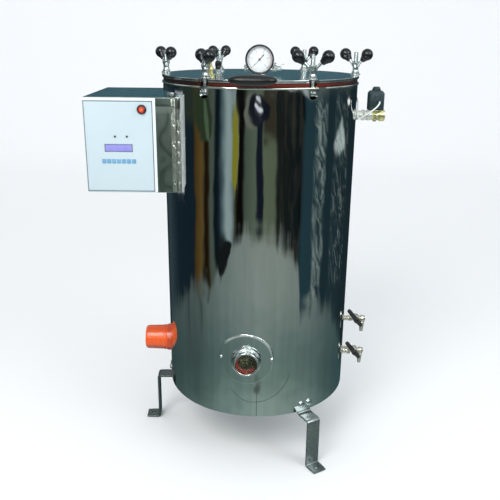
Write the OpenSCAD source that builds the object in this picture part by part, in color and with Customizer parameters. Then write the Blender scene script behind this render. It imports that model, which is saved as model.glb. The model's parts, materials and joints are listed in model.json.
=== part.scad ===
// Vertical steam autoclave: a jacketed pressure vessel on three strap legs, with a
// flat lid held by six swing bolts, a gauge and valves on the lid, a control box
// scribed to the jacket, an immersion heater, a sight port, two cocks and a
// solenoid vent. Millimetres, +Z up, feet on z = 0.

/* [Vessel] */
// Outer radius of the polished jacket
shell_r = 234; // [232:0.5:236]
// Sheet thickness of the jacket
shell_t = 1.5; // [1.2:0.1:2]
// Height of the jacket's lower edge
shell_z0 = 139; // [137:1:141]
// Height of the jacket's upper edge, where the flange sits
shell_z1 = 924; // [920:1:928]
// Inner radius of the sterilising chamber
chamber_r = 175; // [170:1:178]
// Wall of the chamber
chamber_t = 2; // [1.5:0.5:3]
// Height of the chamber's floor, underside
chamber_z0 = 185; // [183:1:187]
// Outer radius of the chamber flange and of the lid
flange_r = 236; // [235.5:0.5:238]
// Thickness of the chamber flange
flange_t = 4; // [3:0.5:5]

/* [Lid] */
// Thickness of the lid plate
lid_t = 6; // [5:0.5:8]
// Thickness of the red sealing ring
gasket_t = 8.7; // [7:0.1:10]
// Width of the lid handle, left to right
handle_w = 100; // [90:1:110]

/* [Clamps] */
// Radius of the circle that the swing bolts stand on
bolt_circle = 228; // [226:0.5:229]
// Angle of the first swing bolt, from +X
clamp_turn = -1.7; // [-3:0.1:0]
// Shank radius of a swing bolt
bolt_r = 5; // [4:0.5:5]
// Height of the swing bolt pivots
pivot_z = 915; // [914:0.5:916]
// Height of the swing bolts' upper ends
bolt_top = 996; // [990:1:1000]
// Distance of each ball knob from the bolt's axis
knob_reach = 32; // [30:0.5:33]
// Radius of the ball knobs
knob_r = 13.5; // [12:0.5:14]

/* [Legs] */
// Width of the leg straps
strap_w = 37; // [34:1:40]
// Thickness of the leg straps
strap_t = 5; // [4:0.5:5]
// Outer radius of the upright part of a leg
leg_r = 274; // [272:1:278]
// Radius that the feet reach
foot_r = 307.5; // [304:0.5:310]
// Angle of the first leg, from +X
leg_turn = 61.2; // [60:0.1:63]

/* [Control box] */
// Left side of the box
box_x0 = -373; // [-376:1:-370]
// Right side of the box
box_x1 = -169; // [-171:1:-167]
// Front face of the door
box_y0 = -250; // [-252:1:-249]
// Underside of the box
box_z0 = 706; // [700:1:712]
// Top of the box
box_z1 = 907.5; // [904:0.5:909]
// Sheet thickness of the box
box_t = 1.5; // [1.2:0.1:2]

/* [Fittings] */
// Height of the sight port
port_z = 295; // [290:1:300]
// Sideways place of the sight port
port_x = -27; // [-30:1:-24]
// Height of the immersion heater
heater_z = 240; // [238:1:242]
// Height of the upper cock
cock_hi = 302; // [298:1:306]
// Height of the lower cock
cock_lo = 206; // [204:1:208]
// Height of the steam vent
vent_z = 847.5; // [846:0.5:849]
// Radius of the gauge bezel
gauge_r = 33.5; // [32:0.5:34]

/* [Hidden] */
$fn = 72;

// The vessel's axis stands here, so that z = 0 under the middle of the whole outline is the origin
off_x = 33.25;
off_y = 1.57;

gap = 0.3;
z_flange = shell_z1 + flange_t;
z_gasket = z_flange + gap;
z_lid = z_gasket + gasket_t;
z_top = z_lid + lid_t;
z_washer = z_top + gap;
washer_t = 3;
z_nut = z_washer + washer_t + gap;
slot_r = 9;
pin_r = 3;
run = 0.05;
// Drain stub under the heater
drain_y = 33;
drain_z = 200.5;
drain_r = 11;
// Turn of each pair of knob arms, from +X, for clamps 1 to 6
arm_turn = [-46, 36, 60, -61, -71, -8];

function clamp_az(i) = clamp_turn + 60 * i;

module placed() translate([off_x, off_y, 0]) children();
module polar(a, r = 0, z = 0) rotate([0, 0, a]) translate([r, 0, z]) children();
module each_clamp() for (i = [0:5]) polar(clamp_az(i), bolt_circle) children();
// Local z runs to the left, to the right, or to the front of the vessel
module to_left(y, z) translate([0, y, z]) rotate([0, -90, 0]) children();
module to_right(y, z) translate([0, y, z]) rotate([0, 90, 0]) children();
module to_front(x, z) translate([x, 0, z]) rotate([90, 0, 0]) children();
module inside_jacket(d = 0) translate([0, 0, -10]) cylinder(r = shell_r + d, h = 1200, $fn = 120);

// U-shaped slot, open to the rim, for one swing bolt
module bolt_slot(z, h, r = slot_r, wide = 0) {
  translate([0, 0, z]) cylinder(r = r, h = h);
  translate([0, -r, z]) cube([40, 2 * r, h]);
  if (wide > 0) translate([0, -wide / 2, z]) cube([40, wide, h]);
}

// ---------- vessel ----------
// The base plate is a disc of its own, a hair inside the rolled jacket
module outer_shell() placed() color([0.42, 0.5, 0.5]) {
  translate([0, 0, shell_z0 + 33]) cylinder(r = shell_r - shell_t - run, h = 1.5, $fn = 120);
  jacket();
}
module jacket() difference() {
  translate([0, 0, shell_z0]) cylinder(r = shell_r, h = shell_z1 - shell_z0, $fn = 120);
  translate([0, 0, shell_z0 - 1]) cylinder(r = shell_r - shell_t, h = 1000, $fn = 120);
  each_clamp() {
    translate([-12, 0, 913]) rotate([0, 90, 0]) cylinder(r = 11, h = 24);
    translate([-12, -11, 913]) cube([24, 22, 20]);
  }
  to_front(port_x, port_z) cylinder(r = 29 + gap, h = 260);
  to_left(0, heater_z) cylinder(r = 31 + gap, h = 260);
  to_left(drain_y, drain_z) cylinder(r = drain_r + gap, h = 260);
  to_right(0, cock_hi) cylinder(r = 6.3 + gap, h = 260);
  to_right(0, cock_lo) cylinder(r = 10 + gap, h = 260);
  to_right(0, vent_z) cylinder(r = 10.5 + gap, h = 260);
  to_right(-17.5, 886) cylinder(r = 2 + run, h = 260);
  for (k = [0:2], s = [-1, 1]) polar(leg_turn + 120 * k, 220) translate([0, s * 11.5, 158])
    rotate([0, 90, 0]) cylinder(r = 4, h = 30);
}

module nozzle(r, h) translate([0, 0, chamber_r - 30]) cylinder(r = r, h = h - chamber_r + 30);

// Floor, wall, flange and the three stubs are pieces of their own, a hair apart at their welds
module inner_chamber() placed() color([0.72, 0.74, 0.74]) {
  translate([0, 0, chamber_z0]) cylinder(r = chamber_r + chamber_t, h = 3, $fn = 120);
  chamber_wall();
  chamber_flange();
  difference() {
    to_front(port_x, port_z) nozzle(29, 24, 248);
    outside_chamber();
  }
  difference() {
    to_left(0, heater_z) nozzle(31, 25, 236);
    outside_chamber();
  }
  difference() {
    to_left(drain_y, drain_z) nozzle(drain_r, 7, 266);
    outside_chamber();
  }
  to_left(drain_y, drain_z) translate([0, 0, 266 + run]) cylinder(r = drain_r, h = 6);
}
module chamber_wall() difference() {
  translate([0, 0, chamber_z0 + 3 + run]) cylinder(r = chamber_r + chamber_t, h = shell_z1 - chamber_z0 - 3 - 2 * run, $fn = 120);
  translate([0, 0, chamber_z0]) cylinder(r = chamber_r, h = 900, $fn = 120);
  to_front(port_x, port_z) translate([0, 0, 100]) cylinder(r = 24, h = 120);
  to_left(0, heater_z) translate([0, 0, 100]) cylinder(r = 25, h = 120);
  to_left(drain_y, drain_z) translate([0, 0, 100]) cylinder(r = 7, h = 120);
  to_right(0, cock_hi) translate([0, 0, 100]) cylinder(r = 4, h = 120);
  to_right(0, cock_lo) translate([0, 0, 100]) cylinder(r = 4, h = 120);
  to_right(0, vent_z) translate([0, 0, 100]) cylinder(r = 5.5, h = 120);
}
module chamber_flange() difference() {
  translate([0, 0, shell_z1]) cylinder(r = flange_r, h = flange_t, $fn = 120);
  translate([0, 0, shell_z1 - 1]) cylinder(r = chamber_r, h = flange_t + 2, $fn = 120);
  each_clamp() bolt_slot(shell_z1 - 1, flange_t + 2);
}
module nozzle(r, bore, h) difference() {
  translate([0, 0, 150]) cylinder(r = r, h = h - 150);
  translate([0, 0, 100]) cylinder(r = bore, h = 200);
}
// Room for the chamber's wall, with a hair to spare
module outside_chamber() cylinder(r = chamber_r + chamber_t + run, h = 1200, $fn = 120);

// Bent strap seen from the side: x is the radius from the vessel's axis, y the height
module strap_bend(x, y, a0) translate([x, y]) intersection() {
  difference() { circle(r = strap_t + 3); circle(r = 3); }
  rotate(a0) square(30);
}
module strap_profile() {
  z1 = shell_z0 - 7;
  translate([226.5, z1 + 3]) square([strap_t, 170 - z1 - 3]);
  strap_bend(229.5 + strap_t, z1 + 3, 180);
  translate([229.5 + strap_t, z1 - strap_t]) square([leg_r - strap_t - 3 - 229.5 - strap_t, strap_t]);
  strap_bend(leg_r - strap_t - 3, z1 - strap_t - 3, 0);
  translate([leg_r - strap_t, strap_t + 3]) square([strap_t, z1 - 2 * strap_t - 6]);
  strap_bend(leg_r + 3, strap_t + 3, 180);
  translate([leg_r + 3, 0]) square([foot_r - leg_r - 3, strap_t]);
}
module legs() placed() color([0.38, 0.43, 0.42]) for (k = [0:2]) polar(leg_turn + 120 * k) difference() {
  translate([0, strap_w / 2, 0]) rotate([90, 0, 0]) linear_extrude(height = strap_w) strap_profile();
  for (s = [-1, 1]) translate([220, s * 11.5, 158]) rotate([0, 90, 0]) cylinder(r = 4, h = 20);
  translate([291, 0, -1]) cylinder(r = 5, h = 10);
}
module leg_bolts() placed() color([0.75, 0.76, 0.75]) for (k = [0:2], s = [-1, 1])
  polar(leg_turn + 120 * k) translate([0, s * 11.5, 158]) rotate([0, 90, 0]) {
    translate([0, 0, 222]) cylinder(r = 4, h = 13);
    translate([0, 0, 234.1]) cylinder(r = 7, h = 4.5, $fn = 6);
    translate([0, 0, 221.5]) rotate([0, 0, 0]) cylinder(r = 7, h = 5, $fn = 6);
  }
// Pivot pin of each swing bolt with the two lugs that it is fixed in
module clamp_pins() placed() color([0.55, 0.57, 0.57]) each_clamp() {
  translate([0, 0, pivot_z]) rotate([90, 0, 0]) {
    cylinder(r = pin_r, h = 21, center = true);
    for (s = [-1, 1]) translate([0, 0, s * 11.1]) cylinder(r = 4, h = 1.6, center = true);
  }
  for (s = [-1, 1]) translate([-9, s * 8.4 - 2, pivot_z - 7]) cube([12, 4, shell_z1 - pivot_z + 7 - run]);
}

// ---------- lid ----------
module lid_plate() placed() color([0.4, 0.55, 0.58]) difference() {
  union() {
    translate([0, 0, z_lid]) cylinder(r = flange_r, h = lid_t - 0.8, $fn = 120);
    translate([0, 0, z_top - 0.8]) cylinder(r1 = flange_r, r2 = flange_r - 0.8, h = 0.8, $fn = 120);
    // tongue that the handle is screwed to
    translate([-51, -246, z_top - 5]) cube([64, 30, 4]);
  }
  each_clamp() bolt_slot(z_lid - 1, lid_t + 2, wide = 26);
  for (p = [[-3, -20, 6], [-112, -139, 5], [-97, -101, 5]])
    translate([p[0], p[1], z_lid - 1]) cylinder(r = p[2], h = lid_t + 2);
}
module lid_gasket() placed() color([0.5, 0.16, 0.1]) difference() {
  translate([0, 0, z_gasket]) cylinder(r = 233, h = gasket_t, $fn = 120);
  translate([0, 0, z_gasket - 1]) cylinder(r = 186, h = gasket_t + 2, $fn = 120);
  each_clamp() bolt_slot(z_gasket - 1, gasket_t + 2, slot_r + 0.5);
}
module lid_handle() placed() color([0.05, 0.06, 0.06]) difference() {
  translate([-19, -262, z_top + 2]) hull() {
    for (s = [-1, 1]) translate([s * (handle_w / 2 - 18), 0, 0]) scale([1, 1.06, 0.62]) sphere(r = 18, $fn = 32);
    scale([1.3, 1.06, 0.65]) translate([0, -0.5, 0]) sphere(r = 18, $fn = 32);
  }
  translate([-200, -246, z_lid - 50]) cube([400, 40, 100]);
}

// Pressure gauge: faces the front, entered from behind
gx = -3;
gz = z_top + 35.5;
gy = 62;
module gauge_frame() to_front(gx, gz) translate([0, 0, gy]) children();
module gauge_case() placed() color([0.1, 0.12, 0.12]) gauge_frame() rotate_extrude()
  polygon([[0, -28], [29, -28], [31, -26], [31, -6], [gauge_r - 0.5, -6], [gauge_r, -5.4], [gauge_r, -1],
    [gauge_r - 1, 0], [gauge_r - 2.4, 0], [gauge_r - 3, -1.4], [gauge_r - 3, -6], [29, -6], [29, -25], [0, -25]]);
module gauge_dial() placed() color([0.93, 0.95, 0.94]) gauge_frame() difference() {
  translate([0, 0, -9]) cylinder(r = 29, h = 1);
  translate([0, 0, -10]) cylinder(r = 1.55, h = 3);
}
module gauge_needle() placed() color([0.25, 0.27, 0.27]) gauge_frame() {
  translate([0, 0, -12]) cylinder(r = 1.5, h = 6);
  translate([0, 0, -7.4]) cylinder(r = 3, h = 1.6);
  translate([0, 0, -7.2]) rotate([0, 0, 138]) linear_extrude(height = 0.8)
    polygon([[-1.5, -15], [1.5, -15], [0.5, 21], [-0.5, 21]]);
}
module gauge_glass() placed() color([0.85, 0.92, 0.95, 0.3]) gauge_frame()
  translate([0, 0, -4.6]) cylinder(r = gauge_r - 3, h = 1.6);

// Cross piece on the lid that carries the gauge, a plug and the vent cock
module lid_manifold() placed() color([0.6, 0.63, 0.62]) {
  translate([gx, -20, z_lid - 4]) cylinder(r = 6, h = 14);
  translate([gx, -20, z_top]) cylinder(r = 14, h = 6, $fn = 6);
  translate([gx, -20, z_top + 6]) cylinder(r = 8.5, h = 14);
  translate([gx, -20, z_top + 18]) cylinder(r = 6, h = gz - z_top - 18);
  translate([gx, -20, gz]) sphere(r = 8);
  to_front(gx, gz) translate([0, 0, 20]) cylinder(r = 5, h = gy - 28 - 20);
  to_front(gx, gz) translate([0, 0, gy - 34]) cylinder(r = 8, h = 6, $fn = 6);
  translate([0, -20, z_top + 14]) rotate([0, 90, 0]) {
    translate([0, 0, -34]) cylinder(r = 5.5, h = 70);
    translate([0, 0, -39]) cylinder(r = 8, h = 7, $fn = 6);
    translate([0, 0, 24]) cylinder(r = 8, h = 14);
    translate([0, 0, 38]) cylinder(r1 = 5, r2 = 4, h = 12);
  }
  translate([31, -20, z_top + 18]) cylinder(r = 5.5, h = 5);
  translate([31, -20, z_top + 22]) cylinder(r = 2.5, h = 7.4);
}
module vent_lever() placed() color([0.7, 0.72, 0.7]) translate([31, -20, z_top + 23.3]) difference() {
  union() {
    cylinder(r = 5.5, h = 4.5);
    rotate([0, 6, 0]) translate([2, -3.2, 0.4]) cube([20, 6.4, 3]);
    rotate([0, 6, 0]) translate([22, 0, 0.4]) cylinder(r = 3.2, h = 3);
  }
  translate([0, 0, -2]) cylinder(r = 2.5 + run, h = 9);
  translate([-20, -20, -10]) cube([60, 40, 10 - 4.6]);
}
module safety_valve_body() placed() color([0.72, 0.66, 0.35]) translate([-112, -139, z_top]) difference() {
  union() {
    translate([0, 0, -8]) cylinder(r = 5, h = 9);
    cylinder(r = 9, h = 7, $fn = 6);
    translate([0, 0, 7]) cylinder(r = 6.2, h = 9);
    translate([0, 0, 16]) cylinder(r1 = 7, r2 = 5.2, h = 7);
  }
  translate([0, 0, 8]) cylinder(r = 2.5 + run, h = 20);
  translate([0, 0, -9]) cylinder(r = 2, h = 20);
}
module safety_valve_stem() placed() color([0.78, 0.74, 0.5]) translate([-112, -139, z_top]) {
  translate([0, 0, 10]) cylinder(r = 2.5, h = 20);
  translate([0, 0, 23.4]) cylinder(r = 4.2, h = 2.2);
  translate([0, 0, 30]) cylinder(r = 4, h = 3);
  translate([0, 0, 37]) rotate([90, 0, 0]) rotate_extrude() translate([4, 0]) circle(r = 1, $fn = 24);
}
module release_valve_body() placed() color([0.62, 0.65, 0.64]) translate([-97, -101, z_top]) {
  translate([0, 0, -8]) cylinder(r = 5, h = 9);
  cylinder(r = 8.5, h = 6, $fn = 6);
  translate([0, 0, 6]) cylinder(r = 6.5, h = 9);
  translate([0, 0, 15]) cylinder(r = 2.5, h = 10);
  translate([0, 0, 10]) rotate([0, 90, 40]) cylinder(r = 3.4, h = 15);
}
module release_knob() placed() color([0.04, 0.05, 0.05]) translate([-97, -101, z_top + 15.3]) difference() {
  union() {
    cylinder(r1 = 5, r2 = 7, h = 5);
    translate([0, 0, 5]) cylinder(r = 7, h = 11);
    translate([0, 0, 16]) cylinder(r1 = 7, r2 = 4.6, h = 2.6);
  }
  translate([0, 0, -1]) cylinder(r = 2.5 + run, h = 11.5);
}

// ---------- sight port ----------
module sight_port_ring() placed() color([0.62, 0.67, 0.67]) difference() {
  union() {
    intersection() {
      inside_jacket(1.2);
      to_front(port_x, port_z) translate([0, 0, 180]) cylinder(r = 66, h = 80);
    }
    to_front(port_x, port_z) {
      translate([0, 0, 215]) cylinder(r = 35.3, h = 33);
      translate([0, 0, 248]) cylinder(r1 = 35.3, r2 = 34.3, h = 1);
      translate([0, 0, 248]) cylinder(r = 30.8, h = 12.5);
      translate([0, 0, 260.5]) cylinder(r1 = 30.8, r2 = 29.8, h = 1.2);
    }
    for (dx = [-61, 61]) translate([port_x + dx, -sqrt(shell_r * shell_r - (port_x + dx) * (port_x + dx)), port_z]) sphere(r = 4);
  }
  inside_jacket();
  to_front(port_x, port_z) {
    translate([0, 0, 180]) cylinder(r = 29, h = 68);
    translate([0, 0, 247]) cylinder(r = 26.5, h = 11);
    translate([0, 0, 257]) cylinder(r = 25.4, h = 10);
  }
}
module sight_glass() placed() color([0.2, 0.22, 0.12, 0.6]) to_front(port_x, port_z)
  translate([0, 0, 251]) cylinder(r = 26.5, h = 7);

// ---------- heater ----------
module heater_element() placed() color([0.66, 0.6, 0.45]) to_left(0, heater_z) {
  translate([0, 0, 236]) cylinder(r = 30, h = 6);
  translate([0, 0, 222]) cylinder(r = 25, h = 14);
  for (s = [-1, 1]) {
    translate([0, s * 16, -110]) cylinder(r = 4, h = 340);
    translate([0, s * 16, 240]) cylinder(r = 3, h = 22);
  }
  translate([0, 0, -110]) rotate([0, 90, 0]) rotate([0, 0, 90]) rotate_extrude(angle = 180) translate([16, 0]) circle(r = 4, $fn = 32);
  translate([10, 0, 242]) cylinder(r = 5, h = 8, $fn = 6);
}
// A conical skirt closed by an end disc
module heater_cap() placed() color([0.86, 0.3, 0.1]) {
  difference() {
    to_left(0, heater_z) rotate_extrude() polygon([[32.8, 225], [40, 225], [40, 240], [37, 243], [36.2, 246],
      [33, 296], [31.5, 299.5], [28, 302], [28, 299], [30, 296], [32.8, 250]]);
    inside_jacket();
  }
  to_left(0, heater_z) translate([0, 0, 299]) cylinder(r = 28 - run, h = 3);
}

// ---------- inside the chamber ----------
module support_grid() placed() color([0.7, 0.72, 0.72]) difference() {
  union() {
    translate([0, 0, 368]) cylinder(r = 172, h = 3);
    for (a = [30, 150, 270]) polar(a, 150) translate([0, 0, chamber_z0 + 3]) cylinder(r = 4, h = 368 - chamber_z0 - 3 - run);
  }
  for (k = [1:4], j = [0:6 * k - 1]) polar(j * 60 / k + 15, 33 * k) translate([0, 0, 360]) cylinder(r = 5, h = 20, $fn = 24);
  translate([0, 0, 360]) cylinder(r = 5, h = 20);
}
module basket() placed() color([0.76, 0.78, 0.78]) {
  // wall of twelve bent panels, each with four windows and its length of rim wire
  difference() {
    union() {
      translate([0, 0, 371.3]) cylinder(r = 165, h = 478.7);
      translate([0, 0, 850]) rotate_extrude() translate([165.2, 0]) circle(r = 3, $fn = 24);
    }
    translate([0, 0, 360]) cylinder(r = 163.4, h = 600);
    for (k = [0:3], j = [0:5]) rotate([0, 0, j * 30]) translate([-200, -20, 395 + 112 * k]) cube([400, 40, 90]);
    for (j = [0:5]) rotate([0, 0, j * 30 + 15]) translate([-200, -run / 2, 360]) cube([400, run, 600]);
  }
  // perforated floor, welded in at the rim
  difference() {
    translate([0, 0, 371.3]) cylinder(r = 163.4 - run, h = 2);
    for (k = [1:3], j = [0:6 * k - 1]) polar(j * 60 / k, 44 * k) translate([0, 0, 360]) cylinder(r = 9, h = 20, $fn = 24);
  }
  // bent wire handles that stand on the rim
  for (s = [-1, 1]) translate([s * 165.2, 0, 853 + run]) {
    for (t = [-1, 1]) translate([0, t * 40, 0]) cylinder(r = 3, h = 37, $fn = 24);
    translate([0, 0, 37]) rotate([90, 0, 0]) cylinder(r = 3, h = 80, center = true, $fn = 24);
    for (t = [-1, 1]) translate([0, t * 40, 37]) sphere(r = 3, $fn = 24);
  }
}

// ---------- cocks ----------
module cock_body(z, r) to_right(0, z) {
  translate([0, 0, chamber_r - 5]) cylinder(r = r, h = 251 - chamber_r + 5);
  translate([0, 0, 250]) cylinder(r = r + 1.2, h = 9, $fn = 6);
  translate([0, 0, 258]) cylinder(r = 6.6, h = 28);
  translate([0, 0, 286]) sphere(r = 8);
  translate([0, 0, 286]) rotate([0, 90, 0]) cylinder(r = 6, h = 20);
  translate([0, 0, 286]) rotate([0, 90, 0]) translate([0, 0, 20]) cylinder(r1 = 6, r2 = 4.2, h = 18);
  translate([0, 0, 270]) rotate([90, 0, 0]) cylinder(r = 9.5, h = 22, center = true);
  translate([0, 0, 270]) rotate([90, 0, 0]) cylinder(r = 3, h = 17.6);
}
module cock_bodies() placed() color([0.6, 0.61, 0.52]) difference() {
  union() { cock_body(cock_hi, 6.3); cock_body(cock_lo, 10); }
  outside_chamber();
  for (z = [cock_hi, cock_lo]) {
    translate([286, 0, z - 40]) cylinder(r = 3, h = 38);
    to_right(0, z) translate([0, 0, 150]) cylinder(r = 4, h = 100);
    to_right(0, z) translate([0, 0, 245]) cylinder(r = 3, h = 40);
  }
}
// Bar handle that turns about the front-to-back axis of a cock
module cock_lever(z) translate([270, -11.3, z]) rotate([90, 0, 0]) difference() {
  union() {
    cylinder(r = 8, h = 9);
    rotate([0, 0, 129]) {
      translate([-16, -5.5, 1]) cube([50, 11, 7]);
      translate([34, 0, 1]) cylinder(r = 5.5, h = 7);
      translate([-16, 0, 1]) cylinder(r = 5.5, h = 7);
    }
  }
  translate([0, 0, -1]) cylinder(r = 3 + run, h = 7.5);
}
module upper_cock_lever() placed() color([0.07, 0.09, 0.09]) cock_lever(cock_hi);
module lower_cock_lever() placed() color([0.07, 0.09, 0.09]) cock_lever(cock_lo);

// ---------- solenoid vent ----------
module solenoid_body() placed() color([0.8, 0.72, 0.35]) difference() {
  to_right(0, vent_z) solenoid_solid();
  outside_chamber();
}
// Pipe from the chamber with a weld collar, then the valve's body and open end
module solenoid_solid() difference() {
  union() {
    translate([0, 0, chamber_r - 5]) cylinder(r = 10.5, h = 275 - chamber_r + 5);
    translate([0, 0, shell_r + 1]) cylinder(r1 = 14, r2 = 12, h = 5);
    translate([0, 0, 274]) cylinder(r = 12.5, h = 24);
    translate([0, 0, 296]) rotate([0, 0, 30]) cylinder(r = 14.8, h = 10.5, $fn = 6);
    translate([0, 0, 283]) rotate([0, -90, 0]) cylinder(r = 11, h = 13);
    translate([0, 0, 283]) rotate([0, 90, 0]) cylinder(r = 7, h = 15, $fn = 6);
  }
  translate([0, 0, 292]) cylinder(r = 6, h = 20);
  translate([0, 0, 150]) cylinder(r = 5.5, h = 130);
}
module solenoid_coil() placed() color([0.06, 0.09, 0.09]) {
  translate([264.5, -17, vent_z + 13]) cube([37, 34, 42]);
  translate([264.5 + 18.5, 0, vent_z + 55]) linear_extrude(height = 4) square([31, 28], center = true);
  translate([283, 0, vent_z + 59]) cylinder(r = 11, h = 4, $fn = 6);
  translate([283, 0, vent_z + 63]) cylinder(r1 = 9, r2 = 7, h = 5.5);
  to_front(289, 881) translate([0, 0, 16]) cylinder(r = 4, h = 5);
}
// White two-core lead from the coil round the pipe to the jacket
lead_r = 2;
lead = [[289, -21, 881], [288, -26, 879], [283, -30, 872], [274, -31, 864], [263, -30, 856], [252, -28, 849],
  [245, -26, 843], [240, -24, 842], [237.5, -22, 848], [237.3, -20, 858], [237.2, -18.5, 870],
  [237, -17.8, 880], [234.5, -17.5, 885.5], [229, -17.5, 886]];
function unit(v) = v / norm(v);
function catmull(a, b, c, d, t) = 0.5 * (2 * b + (c - a) * t + (2 * a - 5 * b + 4 * c - d) * t * t + (3 * b - 3 * c + d - a) * t * t * t);
function clampi(i, n) = max(0, min(n, i));
function smooth_path(p, m) = let (n = len(p) - 1) [for (i = [0:n - 1], k = [0:m - 1])
  catmull(p[clampi(i - 1, n)], p[i], p[i + 1], p[clampi(i + 2, n)], k / m), p[n]];
module sweep_tube(p, r, s = 8) {
  n = len(p);
  pts = [for (i = [0:n - 1]) let (
      d = unit(p[min(i + 1, n - 1)] - p[max(i - 1, 0)]),
      u = unit(cross(d, [0.31, 0.93, 0.2])), v = cross(d, u))
    for (j = [0:s - 1]) p[i] + r * (cos(360 * j / s) * u + sin(360 * j / s) * v)];
  faces = concat(
    [[for (j = [0:s - 1]) j]],
    [for (i = [0:n - 2], j = [0:s - 1]) [i * s + j, (i + 1) * s + j, (i + 1) * s + (j + 1) % s, i * s + (j + 1) % s]],
    [[for (j = [s - 1:-1:0]) (n - 1) * s + j]]);
  polyhedron(points = pts, faces = faces, convexity = 4);
}
module solenoid_cable() placed() color([0.9, 0.93, 0.92]) sweep_tube(smooth_path(lead, 3), lead_r);

// ---------- control box ----------
hinge_x = -174.5;
hinge_y = box_y0 + 2;
hinge_n = 9;
hinge_h = (box_z1 - box_z0 - 4) / hinge_n;
module knuckles(first) for (i = [first:2:hinge_n - 1])
  translate([hinge_x, hinge_y, box_z0 + 2 + i * hinge_h + gap / 2]) children();

module control_box() placed() color([0.55, 0.6, 0.6]) {
  difference() {
    union() {
      translate([box_x0, box_y0 + 10, box_z0]) cube([box_x1 - box_x0, 255 - 10, box_z1 - box_z0]);
      // supply gland on the top
      translate([-188, -232, box_z1 - 1]) { cylinder(r = 6.5, h = 5, $fn = 6); translate([0, 0, 5]) cylinder(r = 5, h = 5.5); }
    }
    translate([-188, -232, box_z1 - 5]) cylinder(r = 3.5, h = 20);
    inside_jacket();
    difference() {
      translate([box_x0 + box_t, box_y0 + 9, box_z0 + box_t])
        cube([box_x1 - box_x0 - 2 * box_t, 255 - 9 - box_t, box_z1 - box_z0 - 2 * box_t]);
      inside_jacket(box_t);
    }
  }
  translate([box_x1 - box_t, box_y0 + 0.8, box_z0]) cube([box_t, 9.4, box_z1 - box_z0]);
  knuckles(0) {
    cylinder(r = 3.5, h = hinge_h - gap);
    translate([0, -1.2, 0]) cube([box_x1 - hinge_x, 1.5, hinge_h - gap]);
  }
  translate([hinge_x, hinge_y, box_z0 + 2.5]) cylinder(r = 1.6, h = box_z1 - box_z0 - 5);
}
module box_door() placed() color([0.58, 0.63, 0.62]) difference() {
  union() {
    difference() {
      translate([box_x0, box_y0, box_z0]) cube([-179.3 - box_x0, 9.7, box_z1 - box_z0]);
      translate([box_x0 + box_t, box_y0 + box_t, box_z0 + box_t])
        cube([-179.3 - box_x0 - 2 * box_t, 20, box_z1 - box_z0 - 2 * box_t]);
    }
    knuckles(1) {
      cylinder(r = 3.5, h = hinge_h - gap);
      translate([-6.3, -1.2, 0]) cube([6.3, 1.5, hinge_h - gap]);
    }
  }
  translate([hinge_x, hinge_y, box_z0]) cylinder(r = 1.6 + run, h = 300);
  lamp_frame() translate([0, 0, -20]) cylinder(r = 8, h = 30);
  display_block(0);
}
module lamp_frame() translate([-249.5, box_y0 - 1.2, 883]) rotate([90, 0, 0]) children();
module display_block(d) translate([-331.6 + d, box_y0 - 5, 794 + d]) cube([60.2 - 2 * d, 8, 16.2 - 2 * d]);
module panel_label() placed() color([0.86, 0.93, 0.94]) difference() {
  translate([box_x0 + 0.3, box_y0 - 1.2, box_z0 + 0.5]) cube([151.7, 1.2, box_z1 - box_z0 - 1]);
  lamp_frame() translate([0, 0, -20]) cylinder(r = 8, h = 30);
  display_block(0);
}
module power_lamp() placed() color([0.85, 0.3, 0.2]) lamp_frame() {
  translate([0, 0, -13]) cylinder(r = 8, h = 13.5);
  cylinder(r = 10, h = 2.5);
  translate([0, 0, 2.5]) cylinder(r1 = 8.6, r2 = 7.4, h = 3);
  intersection() {
    translate([0, 0, -3]) sphere(r = 11.4);
    translate([0, 0, 3]) cylinder(r = 7.2, h = 10);
  }
}
module display_window() placed() color([0.6, 0.63, 0.95])
  intersection() { display_block(0); translate([-340, box_y0 - 1.7, 780]) cube([100, 4.7, 50]); }
module control_board() placed() color([0.1, 0.35, 0.2]) {
  translate([-345, box_y0 + 13, 735]) cube([110, 1.6, 122]);
  for (x = [-339, -241], z = [741, 851]) translate([x, box_y0 + box_t, z]) rotate([-90, 0, 0]) cylinder(r = 3, h = 12);
  translate([-330, box_y0 + 14.5, 748]) cube([44, 30, 38]);
  for (k = [0:2]) translate([-276 + 13 * k, box_y0 + 14.5, 750]) cube([10, 15, 22]);
  translate([-335, box_y0 + 14.5, 836]) cube([80, 9, 12]);
  translate([-300, box_y0 + 14.5, 800]) cube([26, 3, 26]);
}

// ---------- clamps, numbered from the right side anticlockwise ----------
module on_clamp(i) placed() polar(clamp_az(i - 1), bolt_circle) children();
module swing_bolt(i) on_clamp(i) color([0.72, 0.74, 0.73]) difference() {
  union() {
    translate([0, 0, pivot_z]) rotate([90, 0, 0]) cylinder(r = 7.5, h = 12, center = true);
    translate([0, 0, pivot_z]) cylinder(r = bolt_r, h = bolt_top - 1.2 - pivot_z);
    translate([0, 0, bolt_top - 1.2]) cylinder(r1 = bolt_r, r2 = bolt_r - 1.2, h = 1.2);
  }
  translate([0, 0, pivot_z]) rotate([90, 0, 0]) cylinder(r = pin_r + run, h = 30, center = true);
}
module washer(i) on_clamp(i) color([0.3, 0.33, 0.32]) difference() {
  translate([0, 0, z_washer]) cylinder(r = 12, h = washer_t);
  translate([0, 0, z_washer - 1]) cylinder(r = bolt_r + gap, h = washer_t + 2);
}
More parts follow.
